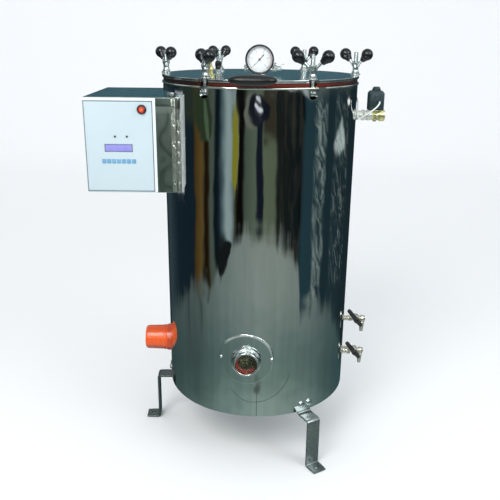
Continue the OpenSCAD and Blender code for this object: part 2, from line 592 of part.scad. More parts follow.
// Arms of the wing nut, each along its own local z
module arms(i) for (s = [0, 180]) translate([0, 0, z_nut + 18.6])
  rotate([0, 0, arm_turn[i - 1] - clamp_az(i - 1) + s]) translate([6.2, 0, 0]) rotate([0, 45, 0]) children();
arm_len = (knob_reach - 6.2) * sqrt(2);
module wing_nut(i) on_clamp(i) color([0.7, 0.73, 0.72]) difference() {
  union() {
    translate([0, 0, z_nut]) rotate_extrude($fn = 48) polygon([[2, 0], [9, 0], [9, 3], [7, 8], [6.6, 12], [6.6, 17],
      [8.2, 22], [8.8, 24], [8.8, 27], [8, 28], [2, 28]]);
    arms(i) cylinder(r = 3.4, h = 24);
  }
  translate([0, 0, z_nut - 1]) cylinder(r = bolt_r + run, h = 60);
}
module ball_knobs(i) on_clamp(i) color([0.04, 0.05, 0.05]) arms(i) difference() {
  union() {
    translate([0, 0, arm_len]) sphere(r = knob_r, $fn = 48);
    translate([0, 0, arm_len - 19.5]) cylinder(r1 = 6.4, r2 = knob_r * 0.93, h = 15);
  }
  translate([0, 0, -5]) cylinder(r = 3.4, h = 29);
}

outer_shell();
inner_chamber();
legs();
leg_bolts();
clamp_pins();
lid_plate();
lid_gasket();
lid_handle();
gauge_case();
gauge_dial();
gauge_needle();
gauge_glass();
lid_manifold();
vent_lever();
safety_valve_body();
safety_valve_stem();
release_valve_body();
release_knob();
sight_port_ring();
sight_glass();
heater_element();
heater_cap();
support_grid();
basket();
cock_bodies();
upper_cock_lever();
lower_cock_lever();
solenoid_body();
solenoid_coil();
solenoid_cable();
control_box();
box_door();
panel_label();
power_lamp();
display_window();
control_board();
swing_bolt(1);  // swing_bolt_1
swing_bolt(2);  // swing_bolt_2
swing_bolt(3);  // swing_bolt_3
swing_bolt(4);  // swing_bolt_4
swing_bolt(5);  // swing_bolt_5
swing_bolt(6);  // swing_bolt_6
washer(1);  // washer_1
washer(2);  // washer_2
washer(3);  // washer_3
washer(4);  // washer_4
washer(5);  // washer_5
washer(6);  // washer_6
wing_nut(1);  // wing_nut_1
wing_nut(2);  // wing_nut_2
wing_nut(3);  // wing_nut_3
wing_nut(4);  // wing_nut_4
wing_nut(5);  // wing_nut_5
wing_nut(6);  // wing_nut_6
ball_knobs(1);  // ball_knobs_1
ball_knobs(2);  // ball_knobs_2
ball_knobs(3);  // ball_knobs_3
ball_knobs(4);  // ball_knobs_4
ball_knobs(5);  // ball_knobs_5
ball_knobs(6);  // ball_knobs_6
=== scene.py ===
"""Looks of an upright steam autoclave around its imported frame. Metres, +Z up; lengths below are in
millimetres from the vessel's axis until pt() turns them into the frame."""
import bpy
import bmesh
import json
import math
from math import sin, cos, pi, radians, sqrt
from mathutils import Vector, Matrix

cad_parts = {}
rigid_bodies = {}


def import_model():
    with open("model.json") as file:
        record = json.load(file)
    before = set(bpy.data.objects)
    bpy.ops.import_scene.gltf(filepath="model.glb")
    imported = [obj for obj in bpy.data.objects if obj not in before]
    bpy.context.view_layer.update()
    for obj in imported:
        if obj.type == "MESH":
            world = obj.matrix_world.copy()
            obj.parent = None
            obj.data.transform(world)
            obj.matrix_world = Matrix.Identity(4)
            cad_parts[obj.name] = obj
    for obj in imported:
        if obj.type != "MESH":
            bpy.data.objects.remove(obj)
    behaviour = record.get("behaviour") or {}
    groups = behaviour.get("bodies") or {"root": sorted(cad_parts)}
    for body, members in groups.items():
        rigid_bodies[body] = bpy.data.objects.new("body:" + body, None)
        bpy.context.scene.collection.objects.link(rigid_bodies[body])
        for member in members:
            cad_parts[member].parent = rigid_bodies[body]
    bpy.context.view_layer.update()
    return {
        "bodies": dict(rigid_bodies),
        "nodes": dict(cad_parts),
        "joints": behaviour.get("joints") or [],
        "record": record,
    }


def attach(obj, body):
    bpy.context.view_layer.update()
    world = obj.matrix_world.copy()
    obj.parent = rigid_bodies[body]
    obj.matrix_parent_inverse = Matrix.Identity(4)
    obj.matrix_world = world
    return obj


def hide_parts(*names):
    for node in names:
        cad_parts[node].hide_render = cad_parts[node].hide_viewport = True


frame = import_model()
NODES = frame["nodes"]

OX, OY = 33.25, 1.57
SC = bpy.context.scene


def pt(x, y, z):
    return Vector(((x + OX) / 1000.0, (y + OY) / 1000.0, z / 1000.0))


# ------------------------------------------------------------------ camera
def make_camera():
    cam = bpy.data.cameras.new("camera")
    cam.sensor_width = 36.0
    cam.lens = 47.0
    cam.clip_start = 0.05
    cam.clip_end = 60
    ob = bpy.data.objects.new("camera", cam)
    SC.collection.objects.link(ob)
    p, r = radians(18.38), radians(0.60)
    fw = Vector((0, cos(p), -sin(p)))
    up0 = Vector((0, sin(p), cos(p)))
    rt0 = Vector((1, 0, 0))
    rt = rt0 * cos(r) + up0 * sin(r)
    up = -rt0 * sin(r) + up0 * cos(r)
    m = Matrix((rt, up, -fw)).transposed().to_4x4()
    m.translation = pt(-20.7, -1632.0, 1036.3)
    ob.matrix_world = m
    SC.camera = ob


make_camera()


# ------------------------------------------------------------------ node graph helper
class G:
    """Builds a node graph: every call returns an output socket."""

    def __init__(self, tree):
        self.t = tree
        self.n = tree.nodes
        self.l = tree.links
        self.n.clear()

    def put(self, sock, v):
        if isinstance(v, bpy.types.NodeSocket):
            self.l.new(v, sock)
        elif v is not None:
            if hasattr(sock, "default_value"):
                d = sock.default_value
                if hasattr(d, "__len__") and not isinstance(v, (int, float)):
                    v = list(v)
                    if len(v) == 3 and len(d) == 4:
                        v = v + [1.0]
                    sock.default_value = v
                elif hasattr(d, "__len__"):
                    sock.default_value = [v] * 3 + ([1.0] if len(d) == 4 else [])
                else:
                    sock.default_value = v

    def coord(self, which="Object"):
        if "coord" not in self.__dict__:
            pass
        if not hasattr(self, "_tc"):
            self._tc = self.n.new("ShaderNodeTexCoord")
        return self._tc.outputs[which]

    def mapping(self, vec, scale=(1, 1, 1), loc=(0, 0, 0), rot=(0, 0, 0)):
        m = self.n.new("ShaderNodeMapping")
        self.put(m.inputs["Vector"], vec)
        m.inputs["Scale"].default_value = scale
        m.inputs["Location"].default_value = loc
        m.inputs["Rotation"].default_value = rot
        return m.outputs[0]

    def noise(self, vec, scale=5.0, detail=2.0, rough=0.5, dist=0.0, out="Fac", dims="3D"):
        m = self.n.new("ShaderNodeTexNoise")
        m.noise_dimensions = dims
        if dims == "1D":
            self.put(m.inputs["W"], vec)
        else:
            self.put(m.inputs["Vector"], vec)
        m.inputs["Scale"].default_value = scale
        m.inputs["Detail"].default_value = detail
        m.inputs["Roughness"].default_value = rough
        m.inputs["Distortion"].default_value = dist
        return m.outputs[out]

    def voronoi(self, vec, scale=5.0, feature="F1", out="Distance"):
        m = self.n.new("ShaderNodeTexVoronoi")
        m.feature = feature
        self.put(m.inputs["Vector"], vec)
        m.inputs["Scale"].default_value = scale
        return m.outputs[out]

    def wave(self, vec, scale=5.0, dist=0.0, detail=2.0, kind="BANDS", direction="X", profile="SIN"):
        m = self.n.new("ShaderNodeTexWave")
        m.wave_type = kind
        if kind == "BANDS":
            m.bands_direction = direction
        else:
            m.rings_direction = direction
        m.wave_profile = profile
        self.put(m.inputs["Vector"], vec)
        m.inputs["Scale"].default_value = scale
        m.inputs["Distortion"].default_value = dist
        m.inputs["Detail"].default_value = detail
        return m.outputs["Fac"]

    def ramp(self, fac, stops, interp="LINEAR"):
        m = self.n.new("ShaderNodeValToRGB")
        m.color_ramp.interpolation = interp
        el = m.color_ramp.elements
        while len(el) > 1:
            el.remove(el[-1])
        for i, (pos, col) in enumerate(stops):
            e = el[0] if i == 0 else el.new(pos)
            e.position = pos
            if isinstance(col, (int, float)):
                col = (col, col, col)
            e.color = (*col[:3], 1.0)
        self.put(m.inputs[0], fac)
        return m.outputs[0]

    def math(self, op, a, b=None, c=None, clamp=False):
        m = self.n.new("ShaderNodeMath")
        m.operation = op
        m.use_clamp = clamp
        for s, v in zip(m.inputs, (a, b, c)):
            self.put(s, v)
        return m.outputs[0]

    def vmath(self, op, a, b=None, scale=None, out=0):
        m = self.n.new("ShaderNodeVectorMath")
        m.operation = op
        self.put(m.inputs[0], a)
        if b is not None:
            self.put(m.inputs[1], b)
        if scale is not None:
            self.put(m.inputs["Scale"], scale)
        return m.outputs[out]

    def mix(self, fac, a, b, blend="MIX"):
        m = self.n.new("ShaderNodeMix")
        m.data_type = "RGBA"
        m.blend_type = blend
        self.put(m.inputs[0], fac)
        self.put(m.inputs[6], a)
        self.put(m.inputs[7], b)
        return m.outputs[2]

    def range(self, v, a, b, c=0.0, d=1.0, smooth=False):
        m = self.n.new("ShaderNodeMapRange")
        if smooth:
            m.interpolation_type = "SMOOTHSTEP"
        self.put(m.inputs[0], v)
        for i, x in enumerate((a, b, c, d)):
            m.inputs[i + 1].default_value = x
        return m.outputs[0]

    def sep(self, vec):
        m = self.n.new("ShaderNodeSeparateXYZ")
        self.put(m.inputs[0], vec)
        return m.outputs

    def comb(self, x, y, z):
        m = self.n.new("ShaderNodeCombineXYZ")
        for s, v in zip(m.inputs, (x, y, z)):
            self.put(s, v)
        return m.outputs[0]

    def bump(self, height, strength=0.2, dist=0.001, normal=None):
        m = self.n.new("ShaderNodeBump")
        m.inputs["Strength"].default_value = strength
        m.inputs["Distance"].default_value = dist
        self.put(m.inputs["Height"], height)
        if normal is not None:
            self.l.new(normal, m.inputs["Normal"])
        return m.outputs[0]


def principled(name, **kw):
    """A material with one Principled shader. Values may be numbers, colours or functions of the graph."""
    m = bpy.data.materials.new(name)
    m.use_nodes = True
    g = G(m.node_tree)
    out = g.n.new("ShaderNodeOutputMaterial")
    b = g.n.new("ShaderNodeBsdfPrincipled")
    g.l.new(b.outputs[0], out.inputs["Surface"])
    keys = {"base": "Base Color", "metal": "Metallic", "rough": "Roughness", "normal": "Normal", "alpha": "Alpha",
            "coat": "Coat Weight", "coat_rough": "Coat Roughness", "spec": "Specular IOR Level", "ior": "IOR",
            "trans": "Transmission Weight", "aniso": "Anisotropic", "emit": "Emission Color",
            "emit_s": "Emission Strength", "sheen": "Sheen Weight", "sub": "Subsurface Weight"}
    for k, v in kw.items():
        if callable(v):
            v = v(g)
        g.put(b.inputs[keys[k]], v)
    m.diffuse_color = (0.5, 0.5, 0.5, 1)
    return m


# ------------------------------------------------------------------ materials
def steel_base(lo, hi, scale=6.0, stretch=(1, 1, 0.25)):
    def f(g):
        v = g.mapping(g.coord(), scale=stretch)
        n = g.noise(v, scale=scale, detail=4, rough=0.6)
        return g.ramp(n, [(0.3, lo), (0.7, hi)])
    return f


def rough_smudge(lo, hi, scale=9.0, stretch=(1, 1, 0.4)):
    def f(g):
        v = g.mapping(g.coord(), scale=stretch)
        n = g.noise(v, scale=scale, detail=6, rough=0.65, dist=0.4)
        return g.range(n, 0.35, 0.75, lo, hi)
    return f


def sheet_waves(strength, dist, scratch=0.0, big=7.0):
    """Slow dents of thin rolled sheet, with fine polishing lines on top."""
    def f(g):
        c = g.coord()
        a = g.noise(g.mapping(c, scale=(1, 1, 0.22)), scale=big, detail=1.5, rough=0.4)
        b = g.noise(g.mapping(c, scale=(1, 1, 0.6), loc=(3.1, 1.7, 0.4)), scale=big * 3.1, detail=1, rough=0.4)
        h = g.math("ADD", a, g.math("MULTIPLY", b, 0.16))
        n = g.bump(h, strength, dist)
        if scratch:
            s = g.noise(g.mapping(c, scale=(60, 60, 1.5)), scale=16, detail=3, rough=0.7)
            n = g.bump(s, scratch, 0.0004, n)
        return n
    return f


def fine_grain(scale=(1, 1, 1), n=900.0, strength=0.05, dist=0.0002, detail=3):
    def f(g):
        return g.bump(g.noise(g.mapping(g.coord(), scale=scale), scale=n, detail=detail, rough=0.6), strength, dist)
    return f


M = {}
M["mirror_steel"] = principled("mirror_steel", base=steel_base((0.60, 0.64, 0.64), (0.70, 0.73, 0.72)), metal=1.0,
                               rough=rough_smudge(0.02, 0.07), normal=sheet_waves(0.45, 0.010, 0.02))
M["lid_steel"] = principled("lid_steel", base=steel_base((0.62, 0.66, 0.67), (0.72, 0.75, 0.75), 5, (1, 1, 1)), metal=1.0,
                            rough=rough_smudge(0.08, 0.2, 7, (1, 1, 1)), normal=fine_grain((1, 1, 1), 60, 0.06, 0.002))
M["chamber_steel"] = principled("chamber_steel", base=steel_base((0.55, 0.57, 0.57), (0.66, 0.68, 0.67)), metal=1.0,
                                rough=rough_smudge(0.22, 0.36), normal=fine_grain((1, 1, 30), 120, 0.05))
def strap_steel(g):
    """Galvanised strap, with painted shade darkening it towards the left."""
    c = g.coord()
    x, y, z = g.sep(c)
    n = g.noise(g.mapping(c, scale=(1, 1, 0.25)), scale=14, detail=4, rough=0.6)
    col = g.ramp(n, [(0.3, (0.20, 0.235, 0.228)), (0.7, (0.34, 0.375, 0.362))])
    # painted shade: darker towards the left
    shade = g.range(x, (OX - 236) / 1000, (OX - 190) / 1000, 1.0, 0.0, True)
    return g.mix(g.math("MULTIPLY", shade, 0.62), col, (0.035, 0.052, 0.046))


M["leg_steel"] = principled("leg_steel", base=strap_steel, metal=0.9,
                            rough=rough_smudge(0.22, 0.40, 20, (1, 1, 0.3)), normal=fine_grain((20, 20, 1), 60, 0.1))
M["fastener_steel"] = principled("fastener_steel", base=steel_base((0.42, 0.47, 0.465), (0.70, 0.75, 0.74), 30), metal=1.0,
                                 rough=rough_smudge(0.18, 0.32, 60), normal=fine_grain((1, 1, 20), 200, 0.04))
# darker, rougher copy of the bolt steel: painted shade for the bolts away from the light
M["bolt_dull"] = principled("bolt_dull", base=steel_base((0.34, 0.385, 0.37), (0.60, 0.65, 0.63), 30), metal=1.0,
                           rough=rough_smudge(0.30, 0.46, 60), normal=fine_grain((1, 1, 20), 200, 0.06))
M["fitting_steel"] = principled("fitting_steel", base=steel_base((0.42, 0.47, 0.46), (0.68, 0.72, 0.71), 40), metal=1.0,
                                rough=rough_smudge(0.18, 0.34, 50), normal=fine_grain((1, 1, 1), 500, 0.06))
M["yellow_brass"] = principled("yellow_brass", base=steel_base((0.66, 0.60, 0.27), (0.90, 0.86, 0.50), 45), metal=0.9,
                               rough=rough_smudge(0.16, 0.34, 60), normal=fine_grain((1, 1, 1), 500, 0.06))
M["element_sheath"] = principled("element_sheath", base=steel_base((0.35, 0.28, 0.2), (0.5, 0.45, 0.38), 30), metal=1.0,
                                 rough=0.4)
def gasket_red(g):
    """Dark red rubber, with painted shade making it browner and darker towards both sides."""
    c = g.coord()
    x, y, z = g.sep(c)
    # painted shade: darker away from the lit middle
    q = g.math("ABSOLUTE", g.math("SUBTRACT", x, (OX + 40) / 1000))
    n = g.noise(g.mapping(c, scale=(1, 1, 1)), scale=25, detail=3, rough=0.6)
    return g.ramp(g.math("ADD", g.math("MULTIPLY", q, 4.0), g.math("MULTIPLY", g.math("SUBTRACT", n, 0.5), 0.30)),
                  [(0.30, (0.125, 0.016, 0.0085)), (0.58, (0.056, 0.009, 0.005)), (0.78, (0.014, 0.003, 0.002)), (1.0, (0.007, 0.003, 0.002))])


M["seal_rubber"] = principled("seal_rubber", base=gasket_red,
                              rough=rough_smudge(0.35, 0.55, 20), spec=0.22, normal=fine_grain((1, 1, 6), 200, 0.1))
M["knob_plastic"] = principled("knob_plastic", base=steel_base((0.0025, 0.0035, 0.004), (0.006, 0.008, 0.009), 40, (1, 1, 1)),
                               rough=rough_smudge(0.10, 0.18, 40, (1, 1, 1)), spec=0.40, coat=0.20, coat_rough=0.22,
                               normal=fine_grain((1, 1, 1), 90, 0.05, 0.0006))
M["case_black"] = principled("case_black", base=steel_base((0.004, 0.008, 0.009), (0.010, 0.016, 0.017), 40, (1, 1, 1)),
                             rough=rough_smudge(0.2, 0.35, 40), spec=0.25, normal=fine_grain((1, 1, 1), 900, 0.06))
M["lever_black"] = principled("lever_black", base=steel_base((0.012, 0.014, 0.014), (0.03, 0.032, 0.032), 50, (1, 1, 1)),
                              rough=rough_smudge(0.3, 0.5, 50), spec=0.45, normal=fine_grain((1, 1, 1), 700, 0.12))
M["coil_plastic"] = principled("coil_plastic", base=steel_base((0.010, 0.024, 0.028), (0.026, 0.050, 0.056), 30, (1, 1, 1)),
                               rough=rough_smudge(0.25, 0.42, 40), spec=0.5, normal=fine_grain((1, 1, 1), 900, 0.08))
M["dial_white"] = principled("dial_white", base=steel_base((0.88, 0.90, 0.91), (0.93, 0.95, 0.96), 40, (1, 1, 1)), rough=0.45)
M["needle_grey"] = principled("needle_grey", base=steel_base((0.06, 0.07, 0.07), (0.10, 0.11, 0.11), 200, (1, 1, 1)), rough=0.4)
M["clear_glass"] = principled("clear_glass", base=steel_base((0.90, 0.94, 0.95), (0.94, 0.97, 0.98), 30, (1, 1, 1)),
                              rough=rough_smudge(0.02, 0.06, 60), alpha=0.10, spec=0.35)
M["port_glass"] = principled("port_glass", base=steel_base((0.030, 0.034, 0.018), (0.060, 0.064, 0.035), 60, (1, 1, 1)),
                             rough=rough_smudge(0.03, 0.09, 60), alpha=0.16, spec=0.5)
def cap_paint(g):
    """Orange moulding, redder on its flange, with painted shade darkening its underside."""
    c = g.coord()
    x, y, z = g.sep(c)
    n = g.noise(c, scale=20, detail=4, rough=0.6)
    v = g.math("ADD", z, g.math("MULTIPLY", g.math("SUBTRACT", n, 0.5), 0.010))
    # painted shade: dark red-brown low on the cap, full orange higher up
    col = g.ramp(g.range(v, 0.204, 0.276, 0.0, 1.0, True),
                 [(0.02, (0.13, 0.012, 0.004)), (0.16, (0.42, 0.040, 0.008)), (0.34, (0.78, 0.100, 0.012)), (0.80, (0.84, 0.120, 0.015)), (1.0, (0.66, 0.075, 0.010))])
    return g.mix(g.range(x, (OX - 246) / 1000, (OX - 240) / 1000, 0.0, 0.62, True), col, (0.44, 0.034, 0.010))


M["cap_orange"] = principled("cap_orange", base=cap_paint,
                             rough=rough_smudge(0.22, 0.38, 20, (1, 1, 1)), spec=0.5, coat=0.25, coat_rough=0.1,
                             normal=fine_grain((1, 1, 1), 60, 0.06, 0.001))
M["cable_white"] = principled("cable_white", base=steel_base((0.72, 0.74, 0.72), (0.84, 0.86, 0.84), 60), rough=0.4)
M["label_blue"] = principled("label_blue", base=steel_base((0.49, 0.595, 0.635), (0.54, 0.64, 0.675), 3, (1, 1, 1)), rough=0.35, spec=0.3)
M["door_white"] = principled("door_white", base=steel_base((0.66, 0.72, 0.74), (0.76, 0.82, 0.83), 8, (1, 1, 1)), rough=rough_smudge(0.3, 0.5, 20), spec=0.3)
def lamp_lens(g):
    """Orange in the middle, with painted shade turning it dark red at the rim."""
    c = g.coord()
    x, y, z = g.sep(c)
    dx = g.math("SUBTRACT", x, (OX - 249.5) / 1000)
    dz = g.math("SUBTRACT", z, 0.883)
    q = g.math("POWER", g.math("ADD", g.math("MULTIPLY", dx, dx), g.math("MULTIPLY", dz, dz)), 0.5)
    n = g.noise(c, scale=300, detail=2)
    # painted shade: darker towards the rim
    return g.ramp(g.math("ADD", g.math("MULTIPLY", q, 100.0), g.math("MULTIPLY", n, 0.16)),
                  [(0.16, (0.85, 0.20, 0.09)), (0.42, (0.72, 0.085, 0.030)), (0.66, (0.24, 0.020, 0.010)), (0.86, (0.075, 0.012, 0.008))])


M["lamp_red"] = principled("lamp_red", base=lamp_lens, rough=0.15, coat=0.4)
M["display_violet"] = principled("display_violet", base=steel_base((0.24, 0.235, 0.66), (0.31, 0.305, 0.74), 50, (1, 1, 1)), rough=0.2, coat=0.5)
M["board_green"] = principled("board_green", base=steel_base((0.02, 0.12, 0.06), (0.03, 0.18, 0.09), 90), rough=0.4)

M["seam_steel"] = principled("seam_steel", base=steel_base((0.42, 0.45, 0.44), (0.55, 0.57, 0.56), 60), metal=1.0,
                             rough=rough_smudge(0.18, 0.32, 60), normal=fine_grain((1, 1, 1), 300, 0.1))
M["plate_steel"] = principled("plate_steel", base=steel_base((0.56, 0.60, 0.585), (0.66, 0.69, 0.68)), metal=1.0,
                              rough=rough_smudge(0.03, 0.09, 14), normal=sheet_waves(0.35, 0.006, 0.02, 10.0))
M["port_steel"] = principled("port_steel", base=steel_base((0.46, 0.50, 0.50), (0.60, 0.63, 0.63), 30), metal=1.0,
                             rough=rough_smudge(0.14, 0.26, 50), normal=fine_grain((1, 1, 1), 300, 0.05))
M["flange_steel"] = principled("flange_steel", base=steel_base((0.70, 0.72, 0.64), (0.84, 0.85, 0.78), 20), metal=1.0,
                               rough=rough_smudge(0.10, 0.2, 30), normal=fine_grain((1, 1, 1), 200, 0.05))
M["box_steel"] = principled("box_steel", base=steel_base((0.60, 0.64, 0.65), (0.72, 0.75, 0.75)), metal=1.0,
                            rough=rough_smudge(0.05, 0.14), normal=sheet_waves(0.6, 0.008, 0.02, 16.0))
def dull_door(g):
    """Dark sheet with slow darker curves, and a pale band with a dark line above it near the top."""
    c = g.coord()
    n = g.noise(g.mapping(c, scale=(1, 1, 0.55)), scale=15, detail=1.5, rough=0.4, dist=0.9)
    col = g.ramp(n, [(0.38, (0.16, 0.20, 0.182)), (0.47, (0.26, 0.31, 0.28)), (0.54, (0.215, 0.26, 0.235)), (0.575, (0.13, 0.165, 0.145)), (0.66, (0.27, 0.32, 0.29))])
    x, y, z = g.sep(c)
    v = g.math("ADD", z, g.math("MULTIPLY", g.math("SUBTRACT", n, 0.5), 0.006))
    field = g.ramp(g.range(v, 0.860, 0.910, 0.0, 1.0, True),
                   [(0.0, 0.0), (0.18, 0.0), (0.34, 0.55), (0.62, 0.70), (0.66, 0.0), (1.0, 0.0)])
    line = g.ramp(g.range(v, 0.860, 0.910, 0.0, 1.0, True), [(0.62, 0.0), (0.67, 0.7), (0.74, 0.7), (0.80, 0.0)])
    side = g.range(x, (OX - 190) / 1000, (OX - 184) / 1000, 1.0, 0.0, True)
    col = g.mix(g.math("MULTIPLY", field, side), col, (0.42, 0.47, 0.43))
    return g.mix(g.math("MULTIPLY", line, side), col, (0.07, 0.09, 0.08))


M["door_steel"] = principled("door_steel", base=dull_door, metal=1.0,
                             rough=rough_smudge(0.26, 0.36), normal=sheet_waves(0.25, 0.008, 0.02, 14.0))
def hinge_plate(g):
    """Brushed strip, with painted shade darkening it high up under the box's top."""
    c = g.coord()
    x, y, z = g.sep(c)
    n = g.noise(g.mapping(c, scale=(1, 1, 0.35)), scale=34, detail=4, rough=0.6)
    col = g.ramp(n, [(0.3, (0.30, 0.33, 0.29)), (0.7, (0.78, 0.79, 0.70))])
    v = g.math("ADD", z, g.math("MULTIPLY", g.math("SUBTRACT", n, 0.5), 0.05))
    # painted shade: darker high up under the box's top
    return g.mix(g.range(v, 0.866, 0.890, 0.0, 0.86, True), col, (0.10, 0.12, 0.10))


M["hinge_steel"] = principled("hinge_steel", base=hinge_plate, metal=0.95,
                              rough=rough_smudge(0.22, 0.36, 30), normal=sheet_waves(0.6, 0.010, 0.0, 60.0))
M["grip_black"] = principled("grip_black", base=steel_base((0.0035, 0.004, 0.004), (0.007, 0.008, 0.008), 40, (1, 1, 1)),
                             rough=rough_smudge(0.26, 0.36, 40, (1, 1, 1)), spec=0.45, normal=fine_grain((1, 1, 1), 500, 0.05))
M["pipe_pale"] = principled("pipe_pale", base=steel_base((0.62, 0.64, 0.58), (0.86, 0.87, 0.80), 60), metal=0.60,
                            rough=rough_smudge(0.2, 0.34, 50), normal=fine_grain((1, 1, 1), 300, 0.06))
M["fitting_bright"] = principled("fitting_bright", base=steel_base((0.70, 0.72, 0.72), (0.84, 0.86, 0.86), 40), metal=1.0,
                                 rough=rough_smudge(0.08, 0.2, 50), normal=fine_grain((1, 1, 1), 400, 0.04))
M["washer_steel"] = principled("washer_steel", base=steel_base((0.50, 0.54, 0.54), (0.70, 0.73, 0.73), 40), metal=1.0,
                               rough=rough_smudge(0.1, 0.22, 60), normal=fine_grain((1, 1, 1), 400, 0.04))
M["nickel"] = principled("nickel", base=steel_base((0.62, 0.59, 0.47), (0.80, 0.78, 0.68), 35), metal=0.9,
                         rough=rough_smudge(0.18, 0.34, 50), normal=fine_grain((1, 1, 1), 400, 0.06))
M["dial_ink"] = principled("dial_ink", base=steel_base((0.012, 0.014, 0.014), (0.03, 0.03, 0.03), 300), rough=0.5)
M["dial_red"] = principled("dial_red", base=steel_base((0.55, 0.03, 0.02), (0.65, 0.05, 0.03), 300), rough=0.5)
def port_seal(g):
    """Red at the lower left, dark elsewhere."""
    c = g.coord()
    x, y, z = g.sep(c)
    lean = g.math("ADD", g.math("MULTIPLY", g.math("SUBTRACT", x, (OX - 27) / 1000), -0.7), g.math("MULTIPLY", g.math("SUBTRACT", z, 0.295), -0.9))
    n = g.noise(c, scale=110, detail=3)
    return g.ramp(g.math("ADD", g.math("MULTIPLY", lean, 26.0), n), [(0.25, (0.020, 0.016, 0.010)), (0.62, (0.16, 0.018, 0.012)), (0.95, (0.36, 0.035, 0.025))])


M["seal_red"] = principled("seal_red", base=port_seal,
                           rough=rough_smudge(0.3, 0.45, 60), spec=0.4, normal=fine_grain((1, 1, 1), 500, 0.08))
def silt(g):
    """Painted shade of the dark chamber, olive, with a few yellowish and green spots of painted reflection in it."""
    n = g.noise(g.mapping(g.coord(), scale=(1, 1, 1.6)), scale=85, detail=4, rough=0.65, dist=0.8)
    x, y, z = g.sep(g.coord())
    dx = g.math("SUBTRACT", x, (OX - 30) / 1000)
    dz = g.math("SUBTRACT", z, 0.2925)
    q = g.math("POWER", g.math("ADD", g.math("MULTIPLY", dx, dx), g.math("MULTIPLY", dz, dz)), 0.5)
    v = g.math("SUBTRACT", n, g.math("MULTIPLY", q, 9.0))
    return g.ramp(v, [(0.28, (0.022, 0.022, 0.014)), (0.42, (0.060, 0.062, 0.030)), (0.50, (0.13, 0.15, 0.060)), (0.58, (0.40, 0.37, 0.20))])


# painted shade and reflections of the chamber, shown behind the port glass
M["port_water"] = principled("port_water", base=silt, rough=rough_smudge(0.25, 0.5, 60), spec=0.5)
M["score_steel"] = principled("score_steel", base=steel_base((0.15, 0.17, 0.16), (0.27, 0.30, 0.285), 30), metal=1.0,
                              rough=rough_smudge(0.25, 0.4, 60), normal=fine_grain((1, 1, 1), 300, 0.1))
# pale, mostly diffuse copy of the box steel for the box's right faces: painted light standing in for what they mirror
M["box_side"] = principled("box_side", base=steel_base((0.80, 0.84, 0.84), (0.95, 0.98, 0.97), 30, (1, 1, 0.3)), metal=0.28,
                           rough=rough_smudge(0.30, 0.46, 30), normal=fine_grain((1, 1, 20), 90, 0.06))
M["print_grey"] = principled("print_grey", base=steel_base((0.10, 0.13, 0.15), (0.16, 0.20, 0.22), 80), rough=0.4)
M["key_blue"] = principled("key_blue", base=steel_base((0.10, 0.29, 0.48), (0.20, 0.41, 0.60), 90, (1, 1, 1)), rough=0.3,
                           normal=fine_grain((1, 1, 1), 900, 0.05))
M["led_dark"] = principled("led_dark", base=steel_base((0.03, 0.045, 0.03), (0.07, 0.08, 0.06), 200), rough=0.2)
M["display_frame"] = principled("display_frame", base=steel_base((0.10, 0.13, 0.15), (0.16, 0.19, 0.21), 90), rough=0.35)
M["lamp_ring"] = principled("lamp_ring", base=steel_base((0.03, 0.035, 0.04), (0.08, 0.09, 0.1), 90), metal=1.0, rough=0.3)

slot_of = {s["node"]: s["material_slot"] for s in frame["record"]["subparts"]}
for name, ob in NODES.items():
    mat = M[slot_of[name]]
    ob.data.materials.clear()
    ob.data.materials.append(mat)


# ------------------------------------------------------------------ geometry helpers (millimetres)
def fr(o, z=(0, 0, 1), x=(1, 0, 0)):
    """Frame with its origin at o, local z along z and local x as near x as it can be."""
    z = Vector(z).normalized()
    x = Vector(x)
    x = (x - z * x.dot(z)).normalized()
    y = z.cross(x)
    m = Matrix((x, y, z)).transposed().to_4x4()
    m.translation = Vector(o)
    return m


def rnd(pts, n=5, closed=False):
    """Rounds the corners of a 2-D line: each point is (a, b) or (a, b, radius)."""
    out = []
    k = len(pts)
    for i, p in enumerate(pts):
        rad = p[2] if len(p) > 2 else 0
        if rad <= 0 or (not closed and i in (0, k - 1)):
            out.append((p[0], p[1]))
            continue
        c = Vector((p[0], p[1]))
        a = Vector(pts[i - 1][:2]) - c
        b = Vector(pts[(i + 1) % k][:2]) - c
        la, lb = a.length, b.length
        if la < 1e-6 or lb < 1e-6:
            out.append((p[0], p[1]))
            continue
        a.normalize()
        b.normalize()
        ang = math.acos(max(-1, min(1, a.dot(b))))
        if ang > pi - 0.02 or ang < 0.02:
            out.append((p[0], p[1]))
            continue
        t = min(rad / math.tan(ang / 2), 0.49 * la, 0.49 * lb)
        r = t * math.tan(ang / 2)
        o = c + (a + b).normalized() * (r / sin(ang / 2))
        u, v = c + a * t - o, c + b * t - o
        w = math.acos(max(-1, min(1, u.dot(v) / (u.length * v.length))))
        for j in range(n + 1):
            q = j / n
            s = (u * sin((1 - q) * w) + v * sin(q * w)) / sin(w) if w > 1e-4 else u
            out.append(((o + s).x, (o + s).y))
    return out


